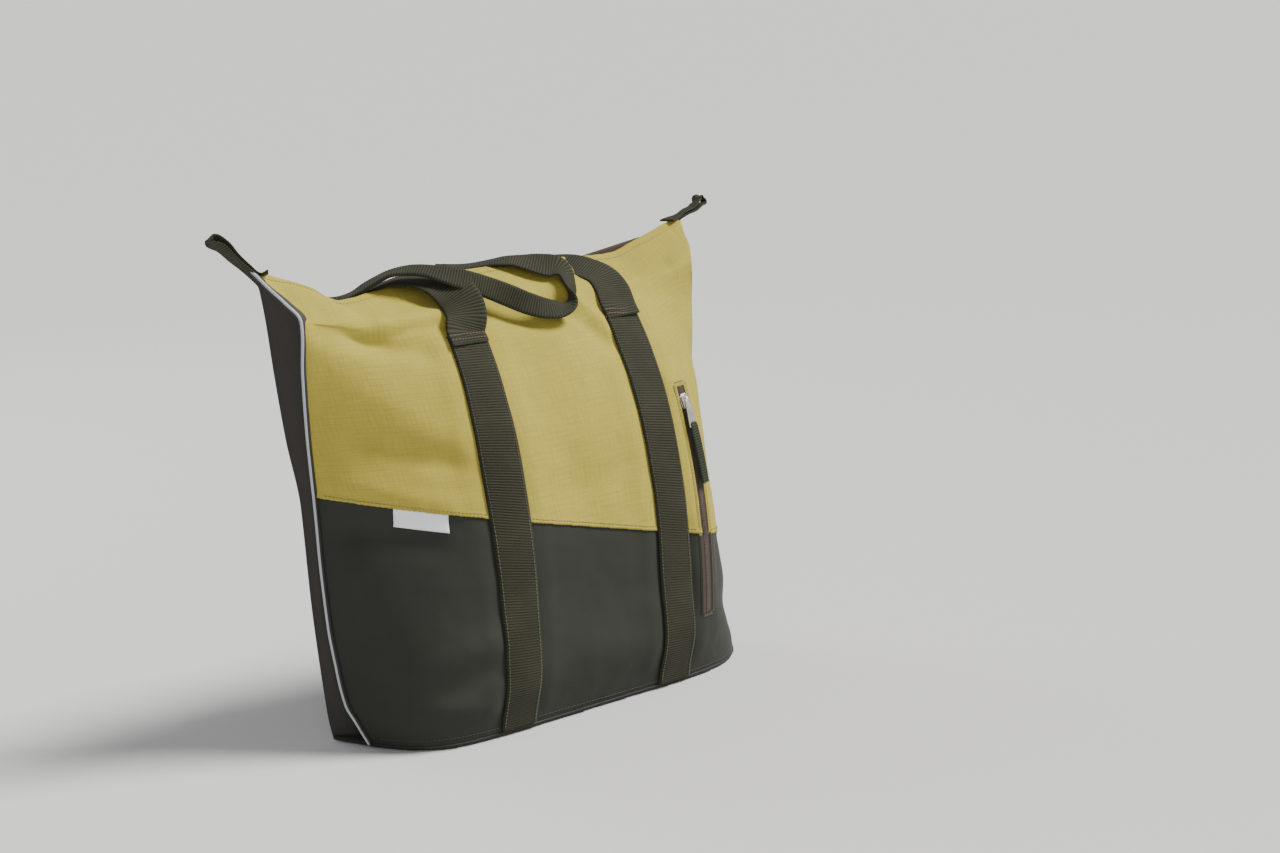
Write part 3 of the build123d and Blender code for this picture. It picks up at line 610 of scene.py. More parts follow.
def build_front():
    us = np.linspace(0, 1, COLUMNS)
    levels, arcs = zip(*[column_levels(u) for u in us])
    levels = np.array(levels).T
    arcs = np.array(arcs).T
    points = front_surface(np.tile(us, (levels.shape[0], 1)), levels)
    normals = surface_normals(points)
    x, z = points[..., 0], points[..., 2]
    edge_fade = np.clip(np.minimum(us, 1 - us) * 430 / 16, 0, 1) ** 0.7
    hem_fade = np.clip((arcs[-1] - arcs) / 14, 0, 1)
    base_fade = np.clip(arcs / 10, 0, 1)
    height = FOLD_SCALE * fold_height(x, rise_height(points, levels))
    for amount, wavelength, seed in UNEVEN:
        height = height + amount * ripple(x, arcs, wavelength, seed)
    by_zip = np.exp(-((x - zip_x(levels)) / 15) ** 4) * (levels < 290)
    height = height * edge_fade * hem_fade * base_fade * (1 - by_zip)
    height = height + strap_press(x, z)
    height = height + seam_pucker(x, arcs)
    return points + normals * height[..., None], arcs


def zip_x(level):
    return zip_frame(np.clip(level, 20, 330), ZIP_FABRIC)[0][..., 0]


def strap_x(end, z):
    """Middle of a front strap: end is -1 for the rear strap, 1 for the front strap."""
    return (-80 + 5 * z / 349) if end < 0 else (100 - 8 * z / 349)


def strap_press(x, z):
    """The cloth is drawn in under the straps' edge stitching and swells beside it."""
    total = np.zeros_like(x)
    for end in (-1, 1):
        away = np.abs(x - strap_x(end, z))
        total += -0.7 * np.exp(-((away - 17) / 4) ** 2) + 0.9 * np.exp(-((away - 31) / 8) ** 2)
    return total * np.clip((352 - z) / 20, 0, 1) * np.clip((z - 10) / 15, 0, 1)


def rise_height(points, levels):
    """Height used to place folds: stretched over the roll, so that folds there keep their width."""
    return np.where(levels > ROLL, ROLL + (levels - ROLL) * 0.8, points[..., 2])


def seam_pucker(x, arcs):
    """Small puckers that the stitching draws along the seam, hem and base."""
    seam = arcs[LOWER_ROWS - 1]
    wave = ripple(x, arcs, 9, 5.5)
    by_seam = np.exp(-np.abs(arcs - seam) / 7)
    by_hem = np.exp(-(arcs[-1] - arcs) / 9)
    by_base = np.exp(-arcs / 8)
    return 0.55 * wave * (by_seam + by_hem + by_base) * np.clip(np.abs(arcs - seam) / 1.5, 0.3, 1)


front_points, front_arcs = build_front()
front_normals = surface_normals(front_points)


def front_row(row, x, lift=0.0):
    """Points and normals across one row of the finished front face."""
    xs = front_points[row, :, 0]
    point = np.stack([np.interp(x, xs, front_points[row, :, k]) for k in range(3)], axis=-1)
    normal = np.stack([np.interp(x, xs, front_normals[row, :, k]) for k in range(3)], axis=-1)
    normal /= np.linalg.norm(normal, axis=-1, keepdims=True)
    return point + normal * lift, normal


def lengths_across(points):
    """Distance from the first column, along each row."""
    widths = np.linalg.norm(np.diff(points, axis=1), axis=-1)
    return np.concatenate([np.zeros((len(points), 1)), np.cumsum(widths, axis=1)], axis=1)


def front_uvs():
    across = lengths_across(front_points)
    across = across - across[:, [COLUMNS // 2]]
    return np.stack([across * MM, front_arcs * MM], axis=-1)


FRONT_UV = front_uvs()


# ------------------------------------------------------------------ cloth panels

SEAM_ROW = LOWER_ROWS - 1
WINDOW_HALF = 5.4           # half width of the hole cut for the pocket zip


def zip_offset(points):
    """How far points lie across from the pocket zip's middle line."""
    middle, _ = zip_frame(np.clip(points[..., 2], 20, 330), ZIP_FABRIC)
    return np.sum((points - middle) * ZIP_ACROSS, axis=-1)


def in_window(points):
    z = points[..., 2]
    return (np.abs(zip_offset(points)) < WINDOW_HALF) & (z > ZIP_LOW + 1) & (z < ZIP_HIGH - 1)


def panel_piece(name, points, uvs, material, thickness):
    """A front panel: a cloth grid with the zip's window left out."""
    rows, columns = points.shape[:2]
    centres = 0.25 * (points[:-1, :-1] + points[1:, :-1] + points[:-1, 1:] + points[1:, 1:])
    cut = in_window(centres).ravel()
    faces = [face for face, hole in zip(grid_faces(rows, columns), cut) if not hole]
    used = sorted({i for face in faces for i in face})
    place = {old: new for new, old in enumerate(used)}
    faces = [tuple(place[i] for i in face) for face in faces]
    piece = new_piece(name, points.reshape(-1, 3)[used], faces, material, uvs.reshape(-1, 2)[used])
    return thicken(piece, thickness)


def make_front_panels():
    from_seam = front_arcs - front_arcs[SEAM_ROW]
    lip = 0.4 + 0.9 * np.exp(-(from_seam / 4) ** 2)
    upper = (front_points + front_normals * lip[..., None])[SEAM_ROW:]
    upper_uv = FRONT_UV[SEAM_ROW:]
    tucked = upper[0] - front_normals[SEAM_ROW] * 1.3 + (0, 0, 0.3)
    hem = upper[-1]
    facing = [hem + (0, 1.4, 0.9), hem + (0, 2.7, 0.2)]
    for drop in (3, 7, 12):
        z = hem[:, 2] - drop
        x = np.clip(hem[:, 0], rear_back_x(z) + 2.5, front_back_x(z) - 2.5)
        facing.append(np.stack([x, np.full(len(hem), 54.8), z], axis=-1))
    last = upper_uv[-1]
    facing_uv = [last + (0, 0.001 * k) for k in (2, 3, 5, 9, 14)]
    upper = np.concatenate([tucked[None], upper, np.array(facing)])
    upper_uv = np.concatenate([upper_uv[:1] - (0, 0.0012), upper_uv, np.array(facing_uv)])
    piece = panel_piece("front_upper_cloth", upper, upper_uv, YELLOW, 1.0)
    hand_over(piece, "bag", "yellow_fabric", "front_panel_upper")
    piece = panel_piece("front_lower_cloth", front_points[:SEAM_ROW + 3], FRONT_UV[:SEAM_ROW + 3], OLIVE, 1.0)
    hand_over(piece, "bag", "coated_fabric", "front_panel_lower")


rear_back_x = smooth_curve((0, -200.5), (19, -204), (42, -206), (96, -209.6), (129, -211), (210, -212.5),
                           (270, -221), (327, -226.5), (374, -230), (410, -234.5))
front_back_x = smooth_curve((0, 208), (60, 213), (140, 210), (210, 208), (300, 209), (374, 210), (410, 222))
GUSSET_COLUMNS = 29
TUCK_FROM, TUCK_OVER = 362, 14      # the front side panel closes up behind the ear above this height
TUCK_SHIFT = (0, 2.0, -1.2)


def make_gusset(end, column, back_x, name, node):
    """The folded side: from the piping to the back edge, drawn in, with one soft crease."""
    edge = front_points[:, column]
    if end > 0:
        tuck = np.clip((edge[:, 2] - TUCK_FROM) / TUCK_OVER, 0, 1)[:, None]
        edge = edge + (front_points[:, column - 2] + TUCK_SHIFT - edge) * tuck
    s = np.linspace(0, 1, GUSSET_COLUMNS)
    back = np.stack([back_x(edge[:, 2]), np.full(len(edge), 54.3), edge[:, 2]], axis=-1)
    back[:, 0] = np.where(edge[:, 2] > 400, edge[:, 0] + (back[:, 0] - edge[:, 0]) * 0.4, back[:, 0])
    points = edge[:, None] * (1 - s)[None, :, None] + back[:, None] * s[None, :, None]
    z = edge[:, 2][:, None] * np.ones_like(s)[None]
    width = np.linalg.norm(back - edge, axis=1)[:, None]
    hollow = 0.36 * width * np.sin(np.pi * s)[None] ** 0.8
    crease = np.clip((z - 90) / 200, 0, 1) * np.clip((398 - z) / 30, 0, 1)
    ridge = 3.6 * np.exp(-((s[None] - 0.36 - 0.0006 * (z - 240)) / 0.10) ** 2) * crease
    second = 1.6 * np.exp(-((s[None] - 0.72) / 0.09) ** 2) * np.clip((260 - z) / 120, 0, 1)
    rough = 0.8 * ripple(points[..., 1], z, 24, 11.0) + 0.4 * ripple(points[..., 1], z, 9, 17.0)
    rough = rough * np.sin(np.pi * s)[None]
    depth = hollow - ridge - second + rough
    points[..., 0] -= end * depth
    uvs = np.stack([lengths_across(points) * MM, z * MM], axis=-1)
    piece = cloth_piece(name, points, uvs, GREY, 1.0, flip=end < 0)
    hand_over(piece, "bag", "dark_fabric", node)


def make_back():
    """The flat back, which is cut lower between the ears where the zip is sewn in."""
    us = np.linspace(0, 1, 120)
    vs = np.linspace(0, 1, 110)
    x = rear_back_x(200.0) + (front_back_x(200.0) - rear_back_x(200.0)) * us
    rise = np.clip((np.abs(x - 2) - 166) / 20, 0, 1)
    top = 368 + (hem_z(x) - 2 - 368) * rise * rise * (3 - 2 * rise)
    z = vs[:, None] * top[None] + 0.6 * (1 - vs[:, None])
    x = rear_back_x(z) + 0.6 + (front_back_x(z) - rear_back_x(z) - 1.2) * us[None]
    dip = 0.35 + 0.3 * ripple(x, z, 70, 4.0) + 0.15 * ripple(x, z, 20, 14.0)
    points = np.stack([x, BACK + 0.1 - np.clip(dip, 0, 1), z], axis=-1)
    uvs = np.stack([x * MM, z * MM], axis=-1)
    piece = cloth_piece("back_cloth", points, uvs, GREY, 1.0, flip=True)
    hand_over(piece, "bag", "dark_fabric", "back_panel")


def base_outline():
    """The bag's outline at the base, once round from the rear piping along the front."""
    front = front_points[0][::3, :2]
    back_y = BACK - 0.8
    right = [(front[-1][0], y) for y in np.linspace(front[-1][1] + 4, back_y, 8)]
    right = [(x - 4.0 * math.sin(math.pi * k / 7), y) for k, (x, y) in enumerate(right)]
    back = [(x, back_y) for x in np.linspace(front[-1][0] - 4, rear_back_x(4.0) + 4, 60)]
    left = [(rear_back_x(4.0), y) for y in np.linspace(back_y, front[0][1] + 4, 8)]
    left = [(x + (front[0][0] - rear_back_x(4.0)) * k / 7, y) for k, (x, y) in enumerate(left)]
    return np.array([tuple(p) for p in front] + right + back + left)


def make_base():
    outline = base_outline()
    centre = outline.mean(axis=0)
    toward = centre - outline
    toward /= np.linalg.norm(toward, axis=1, keepdims=True)
    rings = []
    for z, inset in ((0.0, 5.0), (0.2, 2.4), (0.8, 0.8), (1.8, 0.0), (3.0, 0.0), (4.0, 0.8), (4.2, 3.0)):
        flat = outline + toward * inset
        rings.append(np.hstack([flat, np.full((len(flat), 1), z)]))
    piece = tube_piece("base_cloth", rings, OLIVE)
    hand_over(piece, "bag", "coated_fabric", "bottom_panel")
    seam = np.hstack([outline[:77] - toward[:77] * 0.2, np.full((77, 1), 3.4)])
    piece = round_tube("base_seam_cord", resample(seam, 2.5), 0.8, SEAM_TAPE_AND_SHADOW, sides=8, guide=(0.05, 0.1, 1.0))
    hand_over(piece, "bag", "dark_fabric")


FRONT_PIPING_TOP = 370.0    # the front cord stops where the end panel closes up under the ear


def make_piping(end, column, name, node):
    """A grey cord along the edge between the front and the side, in a wider near-black flange: painted shadow
    lines either side of the cord.
    """
    edge = front_points[:, column]
    normal = front_normals[:, column + (3 if end < 0 else -3)]
    outward = normal + (-1.0, 0, 0) if end < 0 else np.tile((-0.35, 1.0, 0.0), (len(edge), 1))
    outward /= np.linalg.norm(outward, axis=1, keepdims=True)
    if end > 0:
        edge, outward = edge[edge[:, 2] < FRONT_PIPING_TOP], outward[edge[:, 2] < FRONT_PIPING_TOP]
    both = resample(np.hstack([edge, outward]), 2.2)
    path, outward = both[:, :3], both[:, 3:]
    reach = 1.5 if end < 0 else 3.4
    guide = (1, 0.1, 0.1)
    cord = round_tube(name, path + outward * (reach + 0.55), 1.4, SILVER, sides=12, guide=guide)
    hand_over(cord, "bag", "reflective_piping", node)
    # Painted shadow: the near-black flange round the cord stands in for the shadow lines either side of it.
    shadow_flange_path = path + outward * (reach - 0.9)
    shadow_flange = round_tube(name + "_flange", shadow_flange_path, 2.3, SEAM_TAPE_AND_SHADOW, sides=12, guide=guide)
    hand_over(shadow_flange, "bag", "dark_fabric")


# ------------------------------------------------------------------ webbing


def webbing_piece(name, left, middle, right, normals, thickness, material, rib, fade):
    """Ribbed webbing through three lines of points, evenly spaced along the band."""
    count = len(middle)
    along = np.r_[0, np.cumsum(np.linalg.norm(np.diff(middle, axis=0), axis=1))]
    share = np.r_[np.linspace(-1, 1, 17), np.linspace(1, -1, 17)[1:-1]]
    side = np.r_[np.ones(17), -np.ones(15)]
    side[[0, 16]] = 0
    base = (left[:, None] * ((share ** 2 - share) / 2)[None, :, None]
            + middle[:, None] * (1 - share ** 2)[None, :, None]
            + right[:, None] * ((share ** 2 + share) / 2)[None, :, None])
    rounded = np.clip(1 - np.abs(share) ** 10, 0, 1) ** 0.5
    ridges = 0.5 + 0.5 * np.cos(2 * np.pi * along / RIB_PITCH)
    ridges = ridges ** 0.7
    strength = rib * np.clip((0.93 - np.abs(share)) / 0.08, 0, 1)[None] * (ridges - 0.6)[:, None]
    strength = strength * fade[:, None]
    half = 0.5 * np.broadcast_to(thickness, (count,))[:, None]
    lift = side[None] * (half * rounded[None] + strength)
    rings = base + normals[:, None] * lift[..., None]
    piece = tube_piece(name, rings, material)
    widths = np.linalg.norm(right - left, axis=1)[:, None]
    uvs = np.stack([np.broadcast_to(share * 0.5, (count, 32)) * widths * MM,
                    np.broadcast_to((along * MM)[:, None], (count, 32))], axis=-1).reshape(-1, 2)
    mesh = piece.data
    index = np.empty(len(mesh.loops), dtype=np.int32)
    mesh.loops.foreach_get("vertex_index", index)
    mesh.uv_layers[0].data.foreach_set("uv", uvs.astype(np.float32)[index].ravel())
    return piece


def catmull(stations, step):
    """Rows of numbers, whose first three are a place, as even steps along a smooth curve through them."""
    rows = np.asarray(stations, float)
    chord = np.linalg.norm(np.diff(rows[:, :3], axis=0), axis=1) ** 0.5
    slope = np.zeros_like(rows)
    before, after = chord[:-1, None], chord[1:, None]
    slope[1:-1] = ((rows[1:-1] - rows[:-2]) / before * after
                   + (rows[2:] - rows[1:-1]) / after * before) / (before + after)
    slope[0] = (rows[1] - rows[0]) / chord[0]
    slope[-1] = (rows[-1] - rows[-2]) / chord[-1]
    fine = []
    for i in range(len(rows) - 1):
        h = chord[i]
        s = np.linspace(0, 1, 40, endpoint=False)[:, None]
        fine.append((1 + 2 * s) * (1 - s) ** 2 * rows[i] + s * (1 - s) ** 2 * h * slope[i]
                    + s * s * (3 - 2 * s) * rows[i + 1] + s * s * (s - 1) * h * slope[i + 1])
    fine = np.concatenate(fine + [rows[-1:]])
    return resample(fine, step)


def band_piece(name, stations, material, rib):
    """Webbing through stations of x, y, z, across x, across y, across z, width, thickness."""
    stations = [list(s[:3]) + list(np.array(s[3:6]) / np.linalg.norm(s[3:6])) + list(s[6:]) for s in stations]
    rows = catmull(stations, RIB_PITCH / 4)
    path, width, thickness = rows[:, :3], rows[:, 6], rows[:, 7]
    tangent, across, normal = frames_along(path, rows[:, 3:6])
    half = across * (0.5 * width)[:, None]
    turning = np.abs(np.sum(np.gradient(tangent, axis=0) * across, axis=1)) / (RIB_PITCH / 4)
    fade = np.clip(1.15 - 14 * turning, 0.3, 1)
    return webbing_piece(name, path - half, path, path + half, normal, thickness, material, rib, fade)


STRAP_LOW, STRAP_HIGH = 3.6, 344.0


def strap_lines(end, lift, low=STRAP_LOW, high=STRAP_HIGH, step=RIB_PITCH / 4):
    """Left, middle and right lines of a front strap and its normals, smoothed as stiff webbing lies."""
    lines = []
    for offset in (-19, 0, 19):
        both = []
        for row in range(front_points.shape[0]):
            z = front_points[row, COLUMNS // 2, 2]
            for _ in range(3):
                point, normal = front_row(row, strap_x(end, z) + offset)
                z = point[2]
            both.append(np.r_[point, normal])
        lines.append(np.array(both))
    lines = np.array(lines)
    kernel = np.exp(-0.5 * (np.arange(-9, 10) / 4.0) ** 2)
    kernel /= kernel.sum()
    before = 2 * lines[:, :1] - lines[:, 9:0:-1]
    after = 2 * lines[:, -1:] - lines[:, -2:-11:-1]
    padded = np.concatenate([before, lines, after], axis=1)
    smooth = np.apply_along_axis(np.convolve, 1, padded, kernel, "valid")
    inside = (smooth[1, :, 2] >= low) & (smooth[1, :, 2] <= high)
    left, middle, right = smooth[:, inside]
    joined = resample(np.hstack([middle[:, :3], left[:, :3], right[:, :3], middle[:, 3:]]), step)
    middle, left, right = joined[:, :3], joined[:, 3:6], joined[:, 6:9]
    normal = joined[:, 9:] / np.linalg.norm(joined[:, 9:], axis=1, keepdims=True)
    shift = normal * lift
    return left + shift, middle + shift, right + shift, normal


def make_front_strap(end, name, node):
    left, middle, right, normal = strap_lines(end, 1.9)
    seam = seam_z(middle[:, 0])
    fade = 0.35 + 0.65 / (1 + np.exp(-(middle[:, 2] - seam + 4) / 6))
    piece = webbing_piece(name, left, middle, right, normal, 1.9, WEBBING, 0.5, fade)
    hand_over(piece, "bag", "webbing", node)
    rows_low, rows_high = [], []
    for share in (-0.86, 0.86):
        line = middle + (right - middle) * share if share > 0 else middle + (left - middle) * -share
        line = line + normal * 1.0
        low = line[:, 2] < seam
        rows_low.append((line[low][6:], normal[low][6:]))
        rows_high.append((line[~low][:-6], normal[~low][:-6]))
    sew(name + "_edge_stitches", rows_low, OLIVE_THREAD, "webbing", length=2.5, gap=1.0, width=0.7)
    sew(name + "_upper_stitches", rows_high, DARK_THREAD, "webbing", length=2.5, gap=1.0, width=0.6)
    rows = []
    for back in (9, 2):
        k = len(middle) - 1 - back
        line = np.array([left[k] + (right[k] - left[k]) * t for t in np.linspace(0.05, 0.95, 12)])
        rows.append((line + normal[k] * 3.15, np.tile(normal[k], (12, 1))))
    sew(name + "_top_stitches", rows, BROWN_THREAD, "webbing", length=2.4, gap=0.7, width=0.75)


# Front loop: x, y, z, the direction across the band, width, thickness. It rises from the rear strap, goes
# back over the hem, turns behind the ear, crosses the front, doubles back and comes down to the front strap.
FLAT, FOLD = 1.9, 3.6
FRONT_LOOP = [
    (-70.3, -8.7, 360, 0.97, -0.22, 0, 38, FLAT), (-69.4, -3.4, 369.8, 0.89, -0.44, -0.05, 38, FLAT),
    (-71, 4, 378.5, 0.83, -0.55, -0.04, 38, FLAT), (-75, 14, 384.7, 0.88, -0.47, -0.05, 38, FLAT),
    (-81, 26, 388.8, 0.94, -0.3, 0.01, 37, FLAT), (-90, 39, 391, 0.97, 0, 0.11, 34, FLAT),
    (-100, 51, 390.5, 0.9, 0.35, 0.2, 29, 2.4), (-108, 60, 387.3, 0.83, 0.5, 0.21, 25, 2.8),
    (-115, 68, 383.4, 0.76, 0.62, 0.15, 22, 3.2), (-123, 76, 379.2, 0.69, 0.72, 0.08, 20, FOLD),
    (-133, 83, 375.2, 0.55, 0.72, 0.4, 20, FOLD), (-144, 88, 371, 0.25, 0.35, 0.9, 20, FOLD),
    (-152, 87, 369.5, 0, 0.1, 1, 20, FOLD), (-152, 81, 371, 0.2, 0.3, 0.93, 20, FOLD),
    (-145, 77, 375, 0.4, 0.7, 0.5, 20, FOLD),
    (-135, 70.5, 381, 0.5, 0.86, 0.1, 20, FOLD), (-127, 63, 386.8, 0.43, 0.88, 0.16, 20, FOLD),
    (-118, 55, 393, 0.44, 0.88, 0.13, 20, FOLD), (-108, 46, 398.6, 0.48, 0.87, 0.12, 20, FOLD),
    (-97, 36, 400.3, 0.51, 0.82, 0.27, 20, FOLD), (-86, 25, 399.2, 0.54, 0.75, 0.38, 20, FOLD),
    (-75, 15, 395.2, 0.57, 0.57, 0.59, 20, FOLD), (-60, 6, 389, 0.57, 0.3, 0.76, 20, FOLD),
    (-40, -0.5, 380.1, 0.57, 0.15, 0.8, 20, FOLD), (-23, -7, 371.2, 0.47, 0, 0.88, 20, FOLD),
    (-8, -13, 362.9, 0.4, 0.1, 0.91, 20, FOLD), (7, -17, 357.1, 0.42, 0.38, 0.83, 20, FOLD),
    (21, -17, 354.5, 0.46, 0.63, 0.62, 20, FOLD), (35, -13, 356, 0.42, 0.86, 0.25, 20, FOLD),
    (45.5, -4, 363.5, 0.72, 0.69, 0, 20, FOLD), (51.5, 6, 372.5, 0.8, 0.58, 0.14, 20, FOLD),
    (53, 13.5, 380.5, 0.76, 0.52, 0.38, 23, 3.0), (49.5, 20, 385.8, 0.68, 0.48, 0.55, 28, 2.2),
    (40, 27, 388.9, 0.62, 0.6, 0.5, 31, FLAT), (30, 35, 392, 0.59, 0.71, 0.38, 30, FLAT),
    (22, 43, 393.6, 0.55, 0.79, 0.26, 26, 2.4), (14, 50, 393.7, 0.54, 0.8, 0.25, 22, 3.0),
    (6, 57, 392.7, 0.55, 0.82, 0.16, 20, FOLD), (-2, 63, 391.6, 0.57, 0.81, 0.12, 20, FOLD),
    (-11, 68, 390.6, 0.57, 0.81, 0.1, 20, FOLD), (-21, 72, 389, 0.5, 0.7, 0.4, 20, FOLD),
    (-32, 75, 386.5, 0.2, 0.3, 0.93, 20, FOLD), (-39, 79, 385, 0, 0, 1, 20, FOLD),
    (-33, 84, 386, 0.2, 0.3, 0.93, 20, FOLD), (-21, 84.5, 388, 0.45, 0.7, 0.45, 20, FOLD),
    (-4, 81.5, 389.3, 0.57, 0.82, 0.08, 20, FOLD), (18, 77, 389.5, 0.58, 0.82, 0.06, 20, FOLD),
    (43, 70, 389.3, 0.59, 0.8, 0.15, 24, 3.0), (63, 60, 387.3, 0.59, 0.78, 0.22, 32, 2.4),
    (77, 46, 384, 0.6, 0.72, 0.38, 37, FLAT), (87.5, 30, 380, 0.73, 0.58, 0.37, 36.5, FLAT),
    (95.2, 15, 373, 0.85, 0.41, 0.33, 36, FLAT), (96, 3, 363.5, 0.94, 0.22, 0.25, 37, FLAT),
]

BACK_HALF_LOOP = [
    (70, 67.8, 353.4, 1, 0, 0, 38, FLAT), (70, 74, 351.2, 1, 0, 0, 38, FLAT),
    (70, 81, 343, 1, 0, 0, 38, FLAT), (70.5, 87, 328, 1, 0, 0, 37.5, FLAT),
    (70, 91, 306, 1, 0, -0.04, 34, FLAT),
    (67.5, 93.2, 283, 0.98, 0, -0.2, 28, 2.4), (62, 94, 262, 0.91, 0, -0.4, 22, 3.2),
    (51, 94, 243.5, 0.69, 0, -0.72, 20, FOLD), (33, 93.6, 231, 0.42, 0, -0.9, 20, FOLD),
    (14, 93.2, 225.5, 0.17, 0, -0.98, 20, FOLD),
]


def make_handles():
    roots = []
    for end in (-1, 1):
        _, middle, _, _ = strap_lines(end, 3.9, low=335, high=346, step=5.0)
        roots.append([(x, y, z, 1, 0, 0, 38, FLAT) for x, y, z in middle])
    piece = band_piece("front_handle_webbing", roots[0] + FRONT_LOOP + roots[1][::-1], WEBBING, 0.5)
    hand_over(piece, "front_handle", "webbing", "front_handle")
    mirrored = [(-x, y, z, -ax, ay, az, w, t) for x, y, z, ax, ay, az, w, t in BACK_HALF_LOOP]
    stations = mirrored + [(0, 93, 224.6, 0, 0, -1, 20, FOLD)] + BACK_HALF_LOOP[::-1]
    piece = band_piece("back_handle_webbing", stations, WEBBING, 0.5)
    hand_over(piece, "back_handle", "webbing", "back_handle")


BACK_STRAP_ROUTE = [(56.6, 327), (56.9, 340), (58.6, 348), (62, 352.4), (66.6, 353.4)]      # y, z
BOX_Y, BOX_HALF, BOX_LOW, BOX_HIGH = 57.9, 16.5, 330, 341       # the sewn box on each back strap


def make_back_straps():
    """The patches that hold the back loop, each sewn with a box and one slanted row."""
    across = np.linspace(-BOX_HALF, BOX_HALF, 12)
    for name, x, nodes in (("rear", -70, ["back_straps"]), ("front", 70, [])):
        route = [(x, y, z, 1, 0, 0, 38, FLAT) for y, z in BACK_STRAP_ROUTE]
        piece = band_piece("back_strap_" + name, route, WEBBING, 0.5)
        hand_over(piece, "bag", "webbing", *nodes)
        rows = [row_on_back([(x + t, BOX_Y, z) for t in across]) for z in (BOX_LOW, BOX_HIGH)]
        rows += [row_on_back([(x + t, BOX_Y, z) for z in np.linspace(BOX_LOW, BOX_HIGH, 6)])
                 for t in (-BOX_HALF, BOX_HALF)]
        rows.append(row_on_back([(x + t, BOX_Y, BOX_LOW + (t + BOX_HALF) / 3) for t in across]))
        sew("back_strap_stitches_" + name, rows, BROWN_THREAD, "webbing", width=0.7)


def make_tab(name, node, route, across, apart, widths, lap):
    """A doubled tab: webbing that goes out, turns round its end and comes back, to end at lap on the hem."""
    route = np.array(route, float)
    across = np.array(across, float) / np.linalg.norm(across)
    apart = np.array(apart, float) / np.linalg.norm(apart)
    share = np.linspace(0, 1, len(route))
    gaps = np.interp(share, [0, 0.3, 0.6, 1.0], [2.0, 1.3, 1.6, 2.8])
    widths = list(np.interp(share, np.linspace(0, 1, len(widths)), widths))
    widths = widths + [widths[-1]] + widths[::-1]
    out = [tuple(p - apart * g) for p, g in zip(route, gaps)]
    tip = route[-1] + (route[-1] - route[-2]) / np.linalg.norm(route[-1] - route[-2]) * 3.2
    home = [tuple(p + apart * g) for p, g in zip(route, gaps)][::-1]
    home[-1] = lap
    places = out + [tuple(tip)] + home
    stations = [tuple(p) + tuple(across) + (width, FLAT) for p, width in zip(places, widths)]
    piece = band_piece(name, stations, WEBBING, 0.4)
    hand_over(piece, "bag", "webbing", node)


def make_tabs():
    make_tab("end_tab_rear_webbing", "end_tab_rear",
             [(-226, 52, 402), (-234, 54, 411), (-243, 56, 420), (-252, 57, 429), (-262, 57, 440),
              (-271, 57, 446)],
             (-0.11, -0.92, 0.40), (0.70, 0.14, 0.60), (17, 15, 13, 15, 18, 17), (-225, 51, 414.5))
    make_tab("end_tab_front_webbing", "end_tab_front",
             [(212, 57, 403), (222, 57.5, 409), (232, 58.5, 412.5), (243, 61, 415), (253, 65, 418.5),
              (260, 69, 421)],
             (-0.54, -0.81, -0.10), (-0.50, 0.22, 0.84), (17, 15, 13, 15, 15, 13), (206, 54, 408))


# ------------------------------------------------------------------ seams, label and pocket

def clear_of_straps(point):
    near_strap = any(abs(point[0] - strap_x(end, point[2])) < 18.5 for end in (-1, 1)) and point[2] < 350
    near_zip = abs(zip_offset(point)) < 9.5 and ZIP_LOW - 2 < point[2] < ZIP_HIGH + 3
    return not near_strap and not near_zip


def split_runs(points, normals, keep):
    """Rows of stitches from the stretches of a line that are kept."""
    runs, run = [], []
    for point, normal, kept in zip(points, normals, keep):
        if kept:
            run.append((point, normal))
        elif run:
            runs.append(run)
            run = []
    if run:
        runs.append(run)
    return [(np.array([p for p, _ in r]), np.array([n for _, n in r])) for r in runs if len(r) > 2]


def row_stitches(name, row, lift, material, slot, **sizes):
    points = (front_points + front_normals * lift)[row, 3:-3]
    normals = front_normals[row, 3:-3]
    keep = [clear_of_straps(p) for p in points]
    sew(name, split_runs(points, normals, keep), material, slot, **sizes)


def make_seam_stitches():
    hem_row = len(front_points) - 5
    row_stitches("colour_seam_stitches", SEAM_ROW + 2, 1.0, BROWN_THREAD, "yellow_fabric", gap=0.8)
    row_stitches("hem_stitches", hem_row, 0.5, YELLOW_THREAD, "yellow_fabric", gap=0.9)
    row_stitches("base_seam_stitches", 3, 0.15, DARK_THREAD, "coated_fabric", gap=0.9)


def make_back_stitches():
    """Rows that hold the back's edges and the stiffener's pocket."""
    zs = np.linspace(12, 392, 200)
    xs = np.linspace(-192, 198, 200)
    lines = [[(rear_back_x(z) + 7, z) for z in zs],
             [(front_back_x(z) - 7, z) for z in zs],
             [(x, 9) for x in xs]]
    corner = [(-178, 22), (178, 22), (178, 346), (-178, 346), (-178, 22)]
    lines += [[tuple(np.array(a) + (np.array(b) - a) * t) for t in np.linspace(0, 1, 90)]
              for a, b in zip(corner, corner[1:])]
    rows = [row_on_back([(x, BACK + 0.45, z) for x, z in line]) for line in lines]
    sew("back_stitches", rows, DARK_THREAD, "dark_fabric", length=3.0, width=0.7)


def make_label():
    """A blank woven tag caught under the yellow edge."""
    xs = np.linspace(-165.5, -128.8, 22)
    rows = []
    for drop in np.linspace(-1.5, 14.5, 9):
        row_points = []
        for x in xs:
            z = seam_z(x) - drop - 1.0
            heights = front_points[:, :, 2][:, int(np.argmin(np.abs(front_points[SEAM_ROW, :, 0] - x)))]
            row = int(np.argmin(np.abs(heights - z)))
            point, normal = front_row(row, x)
            curl = 0.5 + 0.9 * (max(0.0, drop) / 14.5) ** 2
            row_points.append(point + normal * curl + (0, 0, z - point[2]))
        rows.append(row_points)
    points = np.array(rows)
    uvs = np.stack(np.meshgrid(np.linspace(0, 0.048, 22), np.linspace(0, -0.016, 9)), -1)
    piece = cloth_piece("blank_label", points, uvs, LABEL, 0.6, flip=True)
    hand_over(piece, "bag", "label", "side_label")


